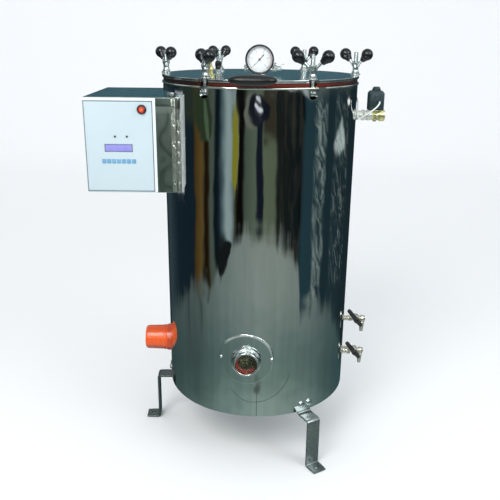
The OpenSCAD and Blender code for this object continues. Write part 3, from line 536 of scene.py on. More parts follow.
class B:
    """Collects surfaces in millimetres and turns them into one object."""

    def __init__(self):
        self.v, self.f, self.m = [], [], []

    def add(self, vs, fs, mi=0, frame=None):
        base = len(self.v)
        if frame is not None:
            vs = [frame @ Vector(v) for v in vs]
        self.v += [tuple(v) for v in vs]
        for f in fs:
            self.f.append(tuple(base + i for i in f))
            self.m.append(mi)
        return self

    def lathe(self, prof, frame=None, segs=64, mi=0, closed=False, a0=0.0, a1=360.0):
        full = abs(a1 - a0) > 359.9
        cols = segs if full else segs + 1
        vs, rings = [], []
        for r, z in prof:
            if r < 1e-6:
                rings.append([len(vs)] * cols)
                vs.append((0, 0, z))
            else:
                rings.append(list(range(len(vs), len(vs) + cols)))
                for j in range(cols):
                    a = radians(a0 + (a1 - a0) * j / segs)
                    vs.append((r * cos(a), r * sin(a), z))
        fs = []
        n = len(prof)
        for i in range(n if closed else n - 1):
            p, q = rings[i], rings[(i + 1) % n]
            for j in range(segs):
                k = (j + 1) % cols
                ids = []
                for t in (p[j], p[k], q[k], q[j]):
                    if t not in ids:
                        ids.append(t)
                if len(ids) > 2:
                    fs.append(ids)
        return self.add(vs, fs, mi, frame)

    def grid(self, rows, mi=0, frame=None, wrap=False):
        vs, fs = [], []
        c = len(rows[0])
        for r in rows:
            vs += [tuple(p) for p in r]
        for i in range(len(rows) - 1):
            for j in range(c if wrap else c - 1):
                k = (j + 1) % c
                fs.append((i * c + j, i * c + k, (i + 1) * c + k, (i + 1) * c + j))
        return self.add(vs, fs, mi, frame)

    def tube(self, path, r, segs=16, mi=0, frame=None, caps=True, closed=False, section=None, up=None):
        """Round tube, or with a section of (a, b) points along the normal and binormal, a swept bar."""
        path = [Vector(p) for p in path]
        n = len(path)
        rows = []
        nrm = None
        for i, p in enumerate(path):
            if closed:
                t = (path[(i + 1) % n] - path[i - 1]).normalized()
            else:
                t = (path[min(i + 1, n - 1)] - path[max(i - 1, 0)]).normalized()
            if nrm is None:
                g = Vector(up) if up is not None else (Vector((0, 0, 1)) if abs(t.z) < 0.9 else Vector((1, 0, 0)))
                nrm = (g - t * g.dot(t)).normalized()
            elif up is not None:
                g = Vector(up)
                nrm = (g - t * g.dot(t)).normalized()
            else:
                nrm = (nrm - t * nrm.dot(t)).normalized()
            b = t.cross(nrm)
            rr = r(i / (n - 1)) if callable(r) else r
            if section is None:
                rows.append([p + (nrm * cos(2 * pi * j / segs) + b * sin(2 * pi * j / segs)) * rr for j in range(segs)])
            else:
                rows.append([p + nrm * u + b * w for u, w in section])
        if closed:
            rows.append(rows[0])
        c = len(rows[0])
        self.grid(rows, mi, frame, wrap=True)
        if caps and not closed:
            base = len(self.v)
            for row, flip in ((rows[0], True), (rows[-1], False)):
                self.add([tuple(p) for p in row], [tuple(range(c))[::-1] if flip else tuple(range(c))], mi, frame)
        return self

    def hexa(self, r, z0, z1, frame=None, mi=0, hole=0.0, sides=6, steep=0.5):
        """Hexagon with round chamfers; r is across the corners' half width."""
        ap = r * cos(pi / sides)
        rc = ap * 0.97
        n = sides * 10
        rings = [[], [], [], []]
        for j in range(n):
            a = 2 * pi * j / n
            q = (a + pi / sides) % (2 * pi / sides) - pi / sides
            rh = ap / cos(pi / sides - abs(q)) if False else ap / cos((a % (2 * pi / sides)) - pi / sides)
            dz = min((rh - rc) * steep, (z1 - z0) * 0.4)
            for ring, rad, zz in zip(rings, (rc, rh, rh, rc), (z0, z0 + dz, z1 - dz, z1)):
                ring.append((rad * cos(a), rad * sin(a), zz))
        if hole > 0:
            inner = [[(hole * cos(2 * pi * j / n), hole * sin(2 * pi * j / n), zz) for j in range(n)] for zz in (z1, z0)]
            self.grid(rings + inner + [rings[0]], mi, frame, wrap=True)
        else:
            self.grid(rings, mi, frame, wrap=True)
            self.add(rings[0], [tuple(range(n))[::-1]], mi, frame)
            self.add(rings[3], [tuple(range(n))], mi, frame)
        return self

    def rbox(self, lo, hi, bev=1.0, seg=3, mi=0, frame=None):
        bm = bmesh.new()
        bmesh.ops.create_cube(bm, size=1.0)
        s = [hi[i] - lo[i] for i in range(3)]
        c = [(hi[i] + lo[i]) / 2 for i in range(3)]
        for v in bm.verts:
            v.co = Vector((v.co.x * s[0] + c[0], v.co.y * s[1] + c[1], v.co.z * s[2] + c[2]))
        if bev > 0:
            bmesh.ops.bevel(bm, geom=bm.edges[:], offset=bev, segments=seg, affect="EDGES", profile=0.5)
        bm.verts.index_update()
        self.add([v.co.copy() for v in bm.verts], [[v.index for v in f.verts] for f in bm.faces], mi, frame)
        bm.free()
        return self

    def prism(self, outline, z0, z1, bev=0.0, mi=0, frame=None, seg=3):
        """Extruded outline, counter-clockwise, with its top and bottom edges rounded."""
        bm = bmesh.new()
        vs = [bm.verts.new((x, y, z0)) for x, y in outline]
        f = bm.faces.new(vs)
        ret = bmesh.ops.extrude_face_region(bm, geom=[f])
        top = [e for e in ret["geom"] if isinstance(e, bmesh.types.BMVert)]
        for v in top:
            v.co.z = z1
        bmesh.ops.recalc_face_normals(bm, faces=bm.faces[:])
        if bev > 0:
            es = [e for e in bm.edges if abs(e.verts[0].co.z - e.verts[1].co.z) < 1e-6]
            bmesh.ops.bevel(bm, geom=es, offset=bev, segments=seg, affect="EDGES", profile=0.5)
        bm.verts.index_update()
        self.add([v.co.copy() for v in bm.verts], [[v.index for v in g.verts] for g in bm.faces], mi, frame)
        bm.free()
        return self

    def ball(self, r, frame=None, mi=0, segs=32, rings=16, squash=1.0):
        return self.lathe([(r * sin(pi * i / rings), -r * cos(pi * i / rings) * squash) for i in range(rings + 1)], frame, segs, mi)

    def mesh(self, name, merge=1e-5, sharp=32):
        me = bpy.data.meshes.new(name)
        me.from_pydata([pt(*v) for v in self.v], [], self.f)
        me.polygons.foreach_set("material_index", self.m)
        bm = bmesh.new()
        bm.from_mesh(me)
        bmesh.ops.remove_doubles(bm, verts=bm.verts[:], dist=merge)
        bmesh.ops.dissolve_degenerate(bm, edges=bm.edges[:], dist=1e-7)
        bmesh.ops.recalc_face_normals(bm, faces=bm.faces[:])
        bm.to_mesh(me)
        bm.free()
        me.shade_smooth()
        me.set_sharp_from_angle(angle=radians(sharp))
        return me

    def make(self, name, mats, body, replaces=(), slot=None, sharp=32, cut=()):
        me = self.mesh(name, sharp=sharp)
        ob = bpy.data.objects.new(name, me)
        SC.collection.objects.link(ob)
        for m in (mats if isinstance(mats, (list, tuple)) else [mats]):
            me.materials.append(M[m])
        if cut:
            carve(ob, cut, sharp)
        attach(ob, body)
        if replaces:
            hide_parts(*([replaces] if isinstance(replaces, str) else replaces))
        return ob


def carve(ob, cutters, sharp=32):
    """Cuts the builders in cutters out of ob."""
    tools = []
    for i, c in enumerate(cutters):
        me = c.mesh("cutter")
        t = bpy.data.objects.new("cutter", me)
        SC.collection.objects.link(t)
        tools.append(t)
        b = ob.modifiers.new("cut%d" % i, "BOOLEAN")
        b.operation = "DIFFERENCE"
        b.solver = "EXACT"
        b.object = t
    dg = bpy.context.evaluated_depsgraph_get()
    me = bpy.data.meshes.new_from_object(ob.evaluated_get(dg))
    old = ob.data
    ob.modifiers.clear()
    mats = [m for m in old.materials]
    ob.data = me
    me.name = old.name
    if not me.materials:
        for m in mats:
            me.materials.append(m)
    bpy.data.meshes.remove(old)
    for t in tools:
        d = t.data
        bpy.data.objects.remove(t)
        bpy.data.meshes.remove(d)
    me.shade_smooth()
    me.set_sharp_from_angle(angle=radians(sharp))


def round_normals(me, radii, centre=(OX / 1000.0, OY / 1000.0)):
    """Gives the corners that lie on the upright cylinders of these radii (metres) their true normals."""
    me.calc_loop_triangles()
    nor = [Vector(c.vector) for c in me.corner_normals]
    for p in me.polygons:
        for li in p.loop_indices:
            co = me.vertices[me.loops[li].vertex_index].co
            d = Vector((co.x - centre[0], co.y - centre[1], 0))
            r = d.length
            if r < 1e-6:
                continue
            d.normalize()
            if any(abs(r - q) < 2e-4 for q in radii) and abs(p.normal.dot(d)) > 0.9:
                nor[li] = d if p.normal.dot(d) > 0 else -d
    me.normals_split_custom_set(nor)


# ------------------------------------------------------------------ sizes shared with the frame
R = 234.0
Z0, Z1 = 139.0, 924.0
FL_Z = 928.0
GK_Z = 928.3
LID_Z = 937.0
TOP = 943.0
CLAMP = [-1.7 + 60 * i for i in range(6)]
ARM = [-46, 36, 60, -61, -71, -8]
DISH = 228.0


def polar(a, r, z):
    return (r * cos(radians(a)), r * sin(radians(a)), z)


def radial(a, r, z):
    """Frame at radius r: local x outwards, local z up."""
    return fr(polar(a, r, z), (0, 0, 1), (cos(radians(a)), sin(radians(a)), 0))


def slot_cutter(a, z0, z1, r, wide=0.0):
    b = B()
    f = radial(a, DISH, 0)
    n = 24
    out = [(40, r), (0, r)] + [(-r * sin(pi * i / n), r * cos(pi * i / n)) for i in range(1, n)] + [(0, -r), (40, -r)]
    if wide:
        out = [(40, wide), (0, wide), (0, r)] + out[2:-2] + [(0, -r), (0, -wide), (40, -wide)]
    b.prism(out[::-1], z0, z1, 0, 0, f)
    return b


# ------------------------------------------------------------------ jacket
def build_jacket():
    b = B()
    ri = R - 1.5
    prof = rnd([(R, Z0, 0.5), (R, Z1, 0.4), (ri, Z1, 0.4), (ri, 173.5), (0, 173.5), (0, 172), (ri, 172), (ri, Z0, 0.5)], 3)
    prof = [(R, Z0 + 2)] + [(R, z) for z in range(160, 921, 40)] + [(R, Z1 - 0.4), (R - 0.4, Z1), (ri + 0.4, Z1), (ri, Z1 - 0.4)] + \
           [(ri, 173.5), (0, 173.5), (0, 172), (ri, 172), (ri, Z0 + 0.5), (ri + 0.4, Z0), (R - 0.4, Z0), (R, Z0 + 0.4)]
    # an open ring at the axis is closed by the two pole points
    b2 = B()
    outer = prof[:prof.index((0, 173.5)) + 1]
    under = prof[prof.index((0, 172)):] + [prof[0]]
    b2.lathe(outer, None, 192)
    b2.lathe(under, None, 192)
    cuts = []
    for a in CLAMP:
        c = B()
        f = radial(a, 0, 913)
        n = 16
        out = [(-11, 20), (-11, 0)] + [(-11 * cos(pi * i / n), -11 * sin(pi * i / n)) for i in range(1, n)] + [(11, 0), (11, 20)]
        # outline in (tangent, height), pushed outwards
        rows = [[(rr, y, z) for y, z in out] for rr in (215, 250)]
        c.grid(rows, 0, f, wrap=True)
        base = [f @ Vector(p) for p in rows[0]]
        c.add([tuple(p) for p in base], [tuple(range(len(out)))[::-1]])
        top = [f @ Vector(p) for p in rows[1]]
        c.add([tuple(p) for p in top], [tuple(range(len(out)))])
        cuts.append(c)
    for o, d, rad in (((-27, 0, 295), (0, -1, 0), 29), ((0, 0, 240), (-1, 0, 0), 31), ((0, 33, 200.5), (-1, 0, 0), 11),
                      ((0, 0, 302), (1, 0, 0), 6.3), ((0, 0, 206), (1, 0, 0), 10), ((0, 0, 847.5), (1, 0, 0), 10.5)):
        c = B()
        f = fr(o, d, (0, 0, 1))
        c.lathe([(0, 200), (rad, 200), (rad, 262), (0, 262)], f, 40)
        cuts.append(c)
    ob = b2.make("jacket", "mirror_steel", "vessel", "outer_shell", sharp=40, cut=cuts)
    round_normals(ob.data, [R / 1000, ri / 1000])
    # seam weld of the rolled sheet, low on the front
    s = B()
    rows = []
    for i in range(46):
        z = Z0 + 1 + i * 4.0
        x = -1.0 + 0.2 * sin(i * 0.9)
        row = []
        for k in range(7):
            u = (k - 3) / 3.0
            rr = R + 0.06 * (1 - u * u) - (0.03 if abs(u) > 0.99 else 0)
            xx = x + u * 0.8 * (1 - i / 60.0)
            row.append((xx, -sqrt(rr * rr - xx * xx), z))
        rows.append(row)
    s.grid(rows)
    s.make("jacket_seam", "score_steel", "vessel", (), "mirror_steel")
    # arc scored into the sheet under the sight port
    q = B()
    rows = []
    for i in range(70):
        deg = 202 + 152 * i / 69.0
        a = radians(deg)
        r0 = 58.0 if deg < 270 else 90.0
        row = []
        for k in range(5):
            u = (k - 2) / 2.0
            rad = r0 + u * 0.75 * min(1.0, i / 8.0 + 0.2, (69 - i) / 8.0 + 0.2)
            rr = R + 0.05 * (1 - u * u) - (0.03 if abs(u) > 0.99 else 0)
            xx = -10.0 + rad * cos(a)
            row.append((xx, -sqrt(rr * rr - xx * xx), 179.5 + r0 + rad * sin(a)))
        rows.append(row)
    q.grid(rows)
    q.make("jacket_score", "score_steel", "vessel", (), "mirror_steel")


# ------------------------------------------------------------------ lid, gasket, handle
def build_lid():
    b = B()
    prof = [(0, LID_Z), (235.2, LID_Z), (235.8, LID_Z + 0.5), (236, LID_Z + 1.0), (236, LID_Z + 1.5), (236, TOP - 0.9), (236, TOP - 0.5),
            (235.85, TOP - 0.15), (235.5, TOP), (234.8, TOP), (200, TOP), (0, TOP)]
    b.lathe(prof, None, 192)
    cuts = [slot_cutter(a, LID_Z - 5, TOP + 5, 9.0, 13.0) for a in CLAMP]
    ob = b.make("lid", "lid_steel", "lid", "lid_plate", sharp=30, cut=cuts)
    fl = B()
    fl.lathe(rnd([(233, 924.1), (236.1, 924.1, 0.8), (236.35, 926, 1.2), (235.7, 928.0, 0.8), (233, 928.1)], 4), None, 192)
    fl.make("flange_rim", "flange_steel", "vessel", (), "mirror_steel", sharp=50, cut=[slot_cutter(a, 923, 930, 9.0) for a in CLAMP])
    t = B()
    t.rbox((-51, -245.8, TOP - 5), (13, -232, TOP - 1), 0.8, 2)
    t.make("handle_tongue", "lid_steel", "lid", (), "lid_steel")
    g = B()
    zc = (GK_Z + LID_Z) / 2
    g.lathe(rnd([(186, GK_Z, 1.5), (233, GK_Z, 2.4), (233, LID_Z, 2.4), (186, LID_Z, 1.5)], 4, True), None, 192, closed=True)
    g.make("gasket", "seal_rubber", "lid", "lid_gasket", sharp=50,
           cut=[slot_cutter(a, GK_Z - 5, LID_Z + 5, 9.5) for a in CLAMP])
    h = B()
    # flattened oval bar
    n, m = 48, 24
    rows = []
    for i in range(n + 1):
        s = -1 + 2 * i / n
        ang = pi * i / n
        x = -50 * cos(ang)
        q = sin(ang) ** 0.42
        w = 19.0 * (1 - abs(x / 50.0) ** 3.2) ** 0.5 if abs(x) < 49.99 else 0.0
        hgt = 11.4 * (1 - abs(x / 50.0) ** 3.0) ** 0.5 if abs(x) < 49.99 else 0.0
        row = []
        for j in range(m):
            a = 2 * pi * j / m
            ca, sa = cos(a), sin(a)
            yy = w * (abs(ca) ** 0.9) * (1 if ca > 0 else -1)
            zz = hgt * (abs(sa) ** 0.95) * (1 if sa > 0 else -1)
            row.append((-19 + x, -262 + min(yy, 15.9), TOP + 2 + zz))
        rows.append(row)
    h.grid(rows, wrap=True)
    ob = h.make("grip", "grip_black", "lid", "lid_handle", "knob_plastic", sharp=60)
    sub = ob.modifiers.new("s", "SUBSURF")
    sub.levels = 1
    sub.render_levels = 1


# ------------------------------------------------------------------ clamps
def build_clamps():
    for i in range(6):
        n = i + 1
        a = CLAMP[i]
        f = radial(a, DISH, 0)
        tang = fr(polar(a, DISH, 915), (-sin(radians(a)), cos(radians(a)), 0), (0, 0, 1))
        # swing bolt: eye, plain shank, rolled thread with a chamfered end
        b = B()
        b.lathe(rnd([(3.05, -6, 0.4), (7.5, -6, 1.0), (7.5, 6, 1.0), (3.05, 6, 0.4)], 3, True), tang, 36, closed=True)
        b.lathe([(4.2, 920), (4.7, 924), (4.95, 930), (4.95, 947), (4.6, 948.2)], f, 32)
        zs0, zs1, pitch = 948.2, 994.8, 1.75
        rows = []
        per = 8
        steps = int((zs1 - zs0) / pitch * per)
        for k in range(steps + 1):
            z = zs0 + (zs1 - zs0) * k / steps
            row = []
            for j in range(28):
                ph = (z / pitch - j / 28.0) % 1.0
                tri = abs(ph * 2 - 1)
                depth = 0.42 * max(0.0, min(1.0, (tri - 0.12) * 1.35))
                fade = min(1, (z - zs0) / 2, (zs1 - z) / 1.5 + 0.35)
                r = 4.95 - depth * max(0, fade)
                row.append((r * cos(2 * pi * j / 28), r * sin(2 * pi * j / 28), z))
            rows.append(row)
        b.grid(rows, 0, f, wrap=True)
        b.lathe([(4.6, 994.8), (3.9, 995.9), (0, 996)], f, 28)
        b.make("bolt_%d" % n, "fastener_steel", "bolt_%d" % n, "swing_bolt_%d" % n, sharp=38)
        # washer
        w = B()
        zz = TOP + 0.3
        w.lathe(rnd([(5.3, zz, 0.3), (12, zz, 0.5), (12, zz + 3, 0.9), (5.3, zz + 3, 0.5)], 3, True), f, 48, closed=True)
        w.make("flat_washer_%d" % n, "washer_steel", "clamp_washer_%d" % n, "washer_%d" % n, "fastener_steel")
        # wing nut: turned hub, two bent arms with weld beads
        z = TOP + 3.6
        u = B()
        hub = rnd([(5.05, z, 0.5), (9.0, z, 0.8), (9.0, z + 3.4, 0.8), (7.4, z + 5.2, 2), (6.7, z + 9, 4), (6.8, z + 15, 4),
                   (8.7, z + 20.2, 2.5), (8.8, z + 26.6, 1.2), (5.05, z + 28, 0.5)], 4, True)
        u.lathe(hub, f, 40, closed=True)
        for s in (0, 180):
            d = radians(ARM[i] + s)
            ex, ey = cos(d), sin(d)
            o = Vector(polar(a, DISH, z + 18.6))
            path = []
            for q in (0.0, 2.5, 5.0, 9, 13, 17, 21, 24):
                path.append(o + Vector((ex, ey, 0)) * (6.2 + q * 0.7071 - 1.2) + Vector((0, 0, q * 0.7071 - 0.3)))
            u.tube(path, lambda t: 3.35 + 0.5 * max(0, 1 - t * 5), 20)
            bead = o + Vector((ex, ey, 0)) * 7.6 + Vector((0, 0, 1.2))
            u.lathe([(3.1, -1.3), (4.1, -0.7), (4.35, 0), (4.1, 0.7), (3.1, 1.3)], fr(bead, (ex * 0.8, ey * 0.8, 0.62), (0, 0, 1)), 20)
        u.make("nut_%d" % n, "fastener_steel", "nut_%d" % n, "wing_nut_%d" % n)
        k = B()
        for s in (0, 180):
            d = radians(ARM[i] + s)
            ex, ey = cos(d), sin(d)
            o = Vector(polar(a, DISH, z + 18.6)) + Vector((ex, ey, 0)) * 6.2
            kf = fr(o, (ex, ey, 1), (-ey, ex, 0))
            L = (32 - 6.2) * sqrt(2)
            prof = [(3.3, L - 19.2), (5.6, L - 19.4), (6.5, L - 18.6), (6.9, L - 16.4)]
            rk = 13.5
            t0 = math.acos(0.60)
            prof += [(7.6, L - 14.2), (8.7, L - 12.4)]
            steps = 22
            start = pi - math.asin(9.6 / rk)
            for q in range(steps + 1):
                t = start * (1 - q / steps)
                r = rk * sin(t)
                zc = L + rk * cos(t)
                prof.append((max(r, 0.0), zc))
            prof = [p for p in prof if p[0] > 1e-3] + [(0, L + rk - 0.02)]
            # a fine mould line round the middle
            k.lathe(prof, kf, 44)
            k.lathe([(rk - 0.05, L - 0.35), (rk + 0.07, L), (rk - 0.05, L + 0.35)], kf, 44)
        k.make("knobs_%d" % n, "knob_plastic", "nut_%d" % n, "ball_knobs_%d" % n, sharp=50)


# ------------------------------------------------------------------ gauge and lid fittings
GX, GZ, GY = -3.0, TOP + 35.5, 62.0


def text_mesh(b, s, size, frame, mi=0):
    cu = bpy.data.curves.new("t", "FONT")
    cu.body = s
    cu.size = size
    cu.align_x = "CENTER"
    cu.align_y = "CENTER"
    cu.extrude = 0.04
    cu.resolution_u = 3
    ob = bpy.data.objects.new("t", cu)
    SC.collection.objects.link(ob)
    dg = bpy.context.evaluated_depsgraph_get()
    me = bpy.data.meshes.new_from_object(ob.evaluated_get(dg))
    b.add([v.co.copy() for v in me.vertices], [tuple(p.vertices) for p in me.polygons], mi, frame)
    bpy.data.objects.remove(ob)
    bpy.data.curves.remove(cu)
    bpy.data.meshes.remove(me)


def build_gauge():
    f = fr((GX, -GY, GZ), (0, -1, 0), (1, 0, 0))
    c = B()
    c.lathe(rnd([(0, -28), (28.5, -28, 3), (30.6, -24, 1), (30.6, -7, 0.8), (32.6, -6.2, 0.4), (33.5, -5.4, 0.8), (33.5, -0.9, 1.2),
                 (31.8, 0, 0.6), (30.9, -0.2, 0.4), (30.5, -1.6, 0.4), (30.3, -7), (29, -7.5), (29, -25), (0, -25)], 4), f, 96)
    # crimped ribs round the case
    for k in range(48):
        a = 2 * pi * k / 48
        rf = f @ fr((30.6 * cos(a), 30.6 * sin(a), 0), (0, 0, 1), (cos(a), sin(a), 0))
        c.rbox((-0.5, -0.7, -6.6), (2.5, 0.7, -5.6), 0.3, 1, 0, rf)
    c.make("gauge_housing", "case_black", "lid", "gauge_case", sharp=30)
    d = B()
    d.lathe([(0, -9), (29.0, -9), (29.0, -8.2), (28.6, -8), (0, -8)], f, 96, 0)
    zf = -7.96
    ticks = 55
    for k in range(ticks + 1):
        ang = radians(-135 + 270 * k / ticks)
        major = k % 11 == 0
        mid = k % 11 in (5, 6) and False
        r0, r1, w = (21.6, 26.6, 0.42) if major else (24.4, 26.6, 0.2)
        tf = f @ Matrix.Rotation(-ang, 4, "Z")
        d.rbox((-w, r0, zf), (w, r1, zf + 0.06), 0, 1, 1, tf)
    ring = [(26.6 * sin(radians(-135 + 270 * q / 90)), 26.6 * cos(radians(-135 + 270 * q / 90)), zf) for q in range(91)]
    rows = [[(rr * sin(radians(-135 + 270 * q / 90)), rr * cos(radians(-135 + 270 * q / 90)), zf + 0.05) for q in range(91)] for rr in (26.5, 26.9)]
    d.grid(rows, 1, f)
    for k in range(6):
        ang = radians(-135 + 54 * k)
        text_mesh(d, str(k), 5.6, f @ Matrix.Translation((17.6 * sin(ang), 17.6 * cos(ang), zf + 0.02)), 1)
    # red working mark
    rows = [[(rr * sin(radians(40 + 95 * q / 20)), rr * cos(radians(40 + 95 * q / 20)), zf + 0.07) for q in range(21)] for rr in (27.2, 27.9)]
    d.grid(rows, 2, f)
    d.make("gauge_face", ["dial_white", "dial_ink", "dial_red"], "lid", "gauge_dial", "dial_white")
    n = B()
    n.lathe([(0, -12), (1.5, -12), (1.5, -7.6), (3.1, -7.5), (3.2, -6.9), (2.4, -6.2), (0, -6.0)], f, 32)
    nf = f @ Matrix.Rotation(radians(138), 4, "Z")
    n.prism([(-1.6, -15), (1.6, -15), (1.0, -4), (0.62, 8), (0.22, 20.8), (-0.22, 20.8), (-0.62, 8), (-1.0, -4)], -7.3, -6.7, 0.12, 0, nf, 1)
    n.make("pointer", "needle_grey", "gauge_pointer", "gauge_needle")
    g = B()
    g.lathe([(0, -4.6), (30.4, -4.6), (30.4, -3.6)] + [(30.4 * cos(pi / 2 * q / 8), -3.6 + 0.6 * sin(pi / 2 * q / 8)) for q in range(1, 9)], f, 64)
    g.make("gauge_lens", "clear_glass", "lid", "gauge_glass", sharp=50)


def build_lid_fittings():
    b = B()
    o = (GX, -20, 0)
    f = fr(o)
    b.lathe([(0, LID_Z - 4), (5.9, LID_Z - 4), (5.9, TOP)], f, 32)
    b.lathe(rnd([(0, TOP - 0.2), (15.5, TOP - 0.2, 0.2), (15.5, TOP + 1.2, 0.6), (12, TOP + 1.8)], 3), f, 40)
    b.hexa(14, TOP + 1.2, TOP + 7.2, f)
    b.lathe(rnd([(9.5, TOP + 7), (8.5, TOP + 8.5, 1.5), (8.5, TOP + 19, 1.5), (6.2, TOP + 21, 1), (6, GZ)], 4), f, 32)
    b.ball(8.2, fr((GX, -20, GZ)), 0, 28, 14)
    g = fr((GX, 0, GZ), (0, -1, 0), (1, 0, 0))
    b.lathe([(5.2, 20), (5.2, GY - 27)], g, 28)
    b.hexa(8.6, GY - 35, GY - 28.2, g)
    h = fr((0, -20, TOP + 14), (1, 0, 0), (0, 0, 1))
    b.lathe(rnd([(0, -40), (4, -40, 0.5), (4.2, -38.5)], 2), h, 24)
    b.hexa(8.4, -38.8, -31.5, h)
    b.lathe(rnd([(6.4, -31.5), (6.4, -29.5, 0.8), (5.4, -28), (5.4, -16), (6.9, -14, 0.8), (6.9, -9, 0.8), (5.6, -8)], 3), h, 28)
    b.lathe(rnd([(5.6, 4), (6.9, 5, 0.8), (6.9, 11, 0.8), (5.4, 13), (5.4, 23), (8, 24, 0.6), (8, 26)], 3), h, 28)
    b.hexa(8.2, 25, 31, h)
    b.lathe(rnd([(7.4, 31), (7.8, 33, 1), (7.4, 37.5, 0.8), (5.2, 39, 0.6), (4.9, 43), (5.4, 43.6), (5.4, 45), (4.8, 45.6), (4.6, 49.4, 0.4), (2.6, 49.8), (2.6, 44)], 3), h, 28)
    v = fr((31, -20, 0))
    b.lathe(rnd([(5.6, TOP + 17), (5.6, TOP + 22.8, 0.5), (2.5, TOP + 23.2)], 3), v, 28)
    b.lathe(rnd([(2.45, TOP + 22.8), (2.45, TOP + 28.6, 0.2), (0, TOP + 29.2)], 2), v, 24)
    b.make("manifold", "fitting_steel", "lid", "lid_manifold")
    l = B()
    zc = TOP + 23.4
    l.lathe(rnd([(2.56, zc, 0.2), (5.5, zc, 0.6), (5.5, zc + 4.2, 0.8), (2.56, zc + 4.4, 0.3)], 3, True), v, 32, closed=True)
    lf = fr((31, -20, zc), (sin(radians(6)), 0, cos(radians(6))), (cos(radians(6)), 0, -sin(radians(6))))
    out = rnd([(3, -3.2), (20, -3.4), (25.2, -3.4, 3.2), (25.2, 3.4, 3.2), (20, 3.4), (3, 3.2)], 5, True)
    l.prism(out, 0.5, 3.3, 0.6, 0, lf, 2)
    l.make("vent_handle", "fitting_steel", "vent_cock_lever", "vent_lever")
    # safety valve
    s = B()
    f = fr((-112, -139, 0))
    s.lathe([(0, LID_Z - 2), (4.9, LID_Z - 2), (4.9, TOP)], f, 24)
    s.lathe(rnd([(0, TOP), (9.8, TOP, 0.2), (9.8, TOP + 0.9, 0.4), (8, TOP + 1)], 2), f, 32)
    s.hexa(9, TOP + 0.8, TOP + 7.2, f)
    s.lathe(rnd([(7.4, TOP + 7.2), (6.2, TOP + 8.2, 0.8), (6.2, TOP + 11), (5.6, TOP + 11.6), (5.6, TOP + 12.6), (6.2, TOP + 13.2),
                 (6.2, TOP + 15.4), (7.4, TOP + 16.4, 0.8), (7.1, TOP + 18.6, 0.8), (5.3, TOP + 22.6, 0.6), (2.6, TOP + 23), (2.6, TOP + 12)], 3), f, 32)
    s.make("relief_valve", "yellow_brass", "lid", "safety_valve_body")
    p = B()
    p.lathe(rnd([(0, TOP + 10), (2.5, TOP + 10), (2.5, TOP + 23.5), (4.2, TOP + 23.6, 0.3), (4.2, TOP + 25.6, 0.6), (2.4, TOP + 26.2),
                 (2.4, TOP + 29.6), (4.0, TOP + 30.2, 0.5), (4.0, TOP + 33, 0.8), (0, TOP + 33.4)], 3), f, 28)
    coil = []
    for q in range(81):
        t = q / 80.0
        coil.append((3.1 * cos(t * 2 * pi * 3), 3.1 * sin(t * 2 * pi * 3), TOP + 25.9 + 4.0 * t))
    p.tube(coil, 0.45, 8, 0, f)
    ring = [(-112 + 4 * cos(2 * pi * q / 32), -139, TOP + 37 + 4 * sin(2 * pi * q / 32)) for q in range(32)]
    p.tube(ring, 0.95, 12, closed=True, up=(0, 1, 0))
    p.make("relief_stem", "yellow_brass", "safety_stem", "safety_valve_stem")
    # hand release valve
    r = B()
    f = fr((-97, -101, 0))
    r.lathe([(0, LID_Z - 2), (4.9, LID_Z - 2), (4.9, TOP)], f, 24)
    r.hexa(8.5, TOP, TOP + 6, f)
    r.lathe(rnd([(7.2, TOP + 6), (6.6, TOP + 7, 0.6), (6.6, TOP + 14.2, 0.8), (4.6, TOP + 15, 0.4), (2.45, TOP + 15), (2.45, TOP + 24.6), (0, TOP + 25)], 3), f, 28)
    sp = fr((-97, -101, TOP + 10), (cos(radians(40)), sin(radians(40)), 0), (0, 0, 1))
    r.lathe(rnd([(3.4, 3), (3.4, 9), (4.2, 9.6, 0.3), (4.2, 11.4, 0.4), (3.6, 12), (3.4, 15, 0.4), (1.8, 15), (1.8, 8)], 2), sp, 24)
    r.make("release_valve", "fitting_steel", "lid", "release_valve_body")
    k = B()
    zc = TOP + 15.4
    rows = []
    prof = rnd([(2.6, zc), (4.6, zc, 0.4), (6.6, zc + 4.6, 1.5), (7.0, zc + 8, 1), (7.0, zc + 14.6, 1.5), (4.6, zc + 18.2, 1.5), (0, zc + 18.5)], 4)
    for rr, z in prof:
        row = []
        for j in range(64):
            t = 2 * pi * j / 64
            flute = 0.35 * max(0, cos(12 * t)) if 4.4 < rr and z < zc + 17 else 0
            row.append(((rr - flute) * cos(t), (rr - flute) * sin(t), z))
        rows.append(row)
    k.grid(rows, 0, f, wrap=True)
    k.make("release_handle", "knob_plastic", "release_handwheel", "release_knob", sharp=45)


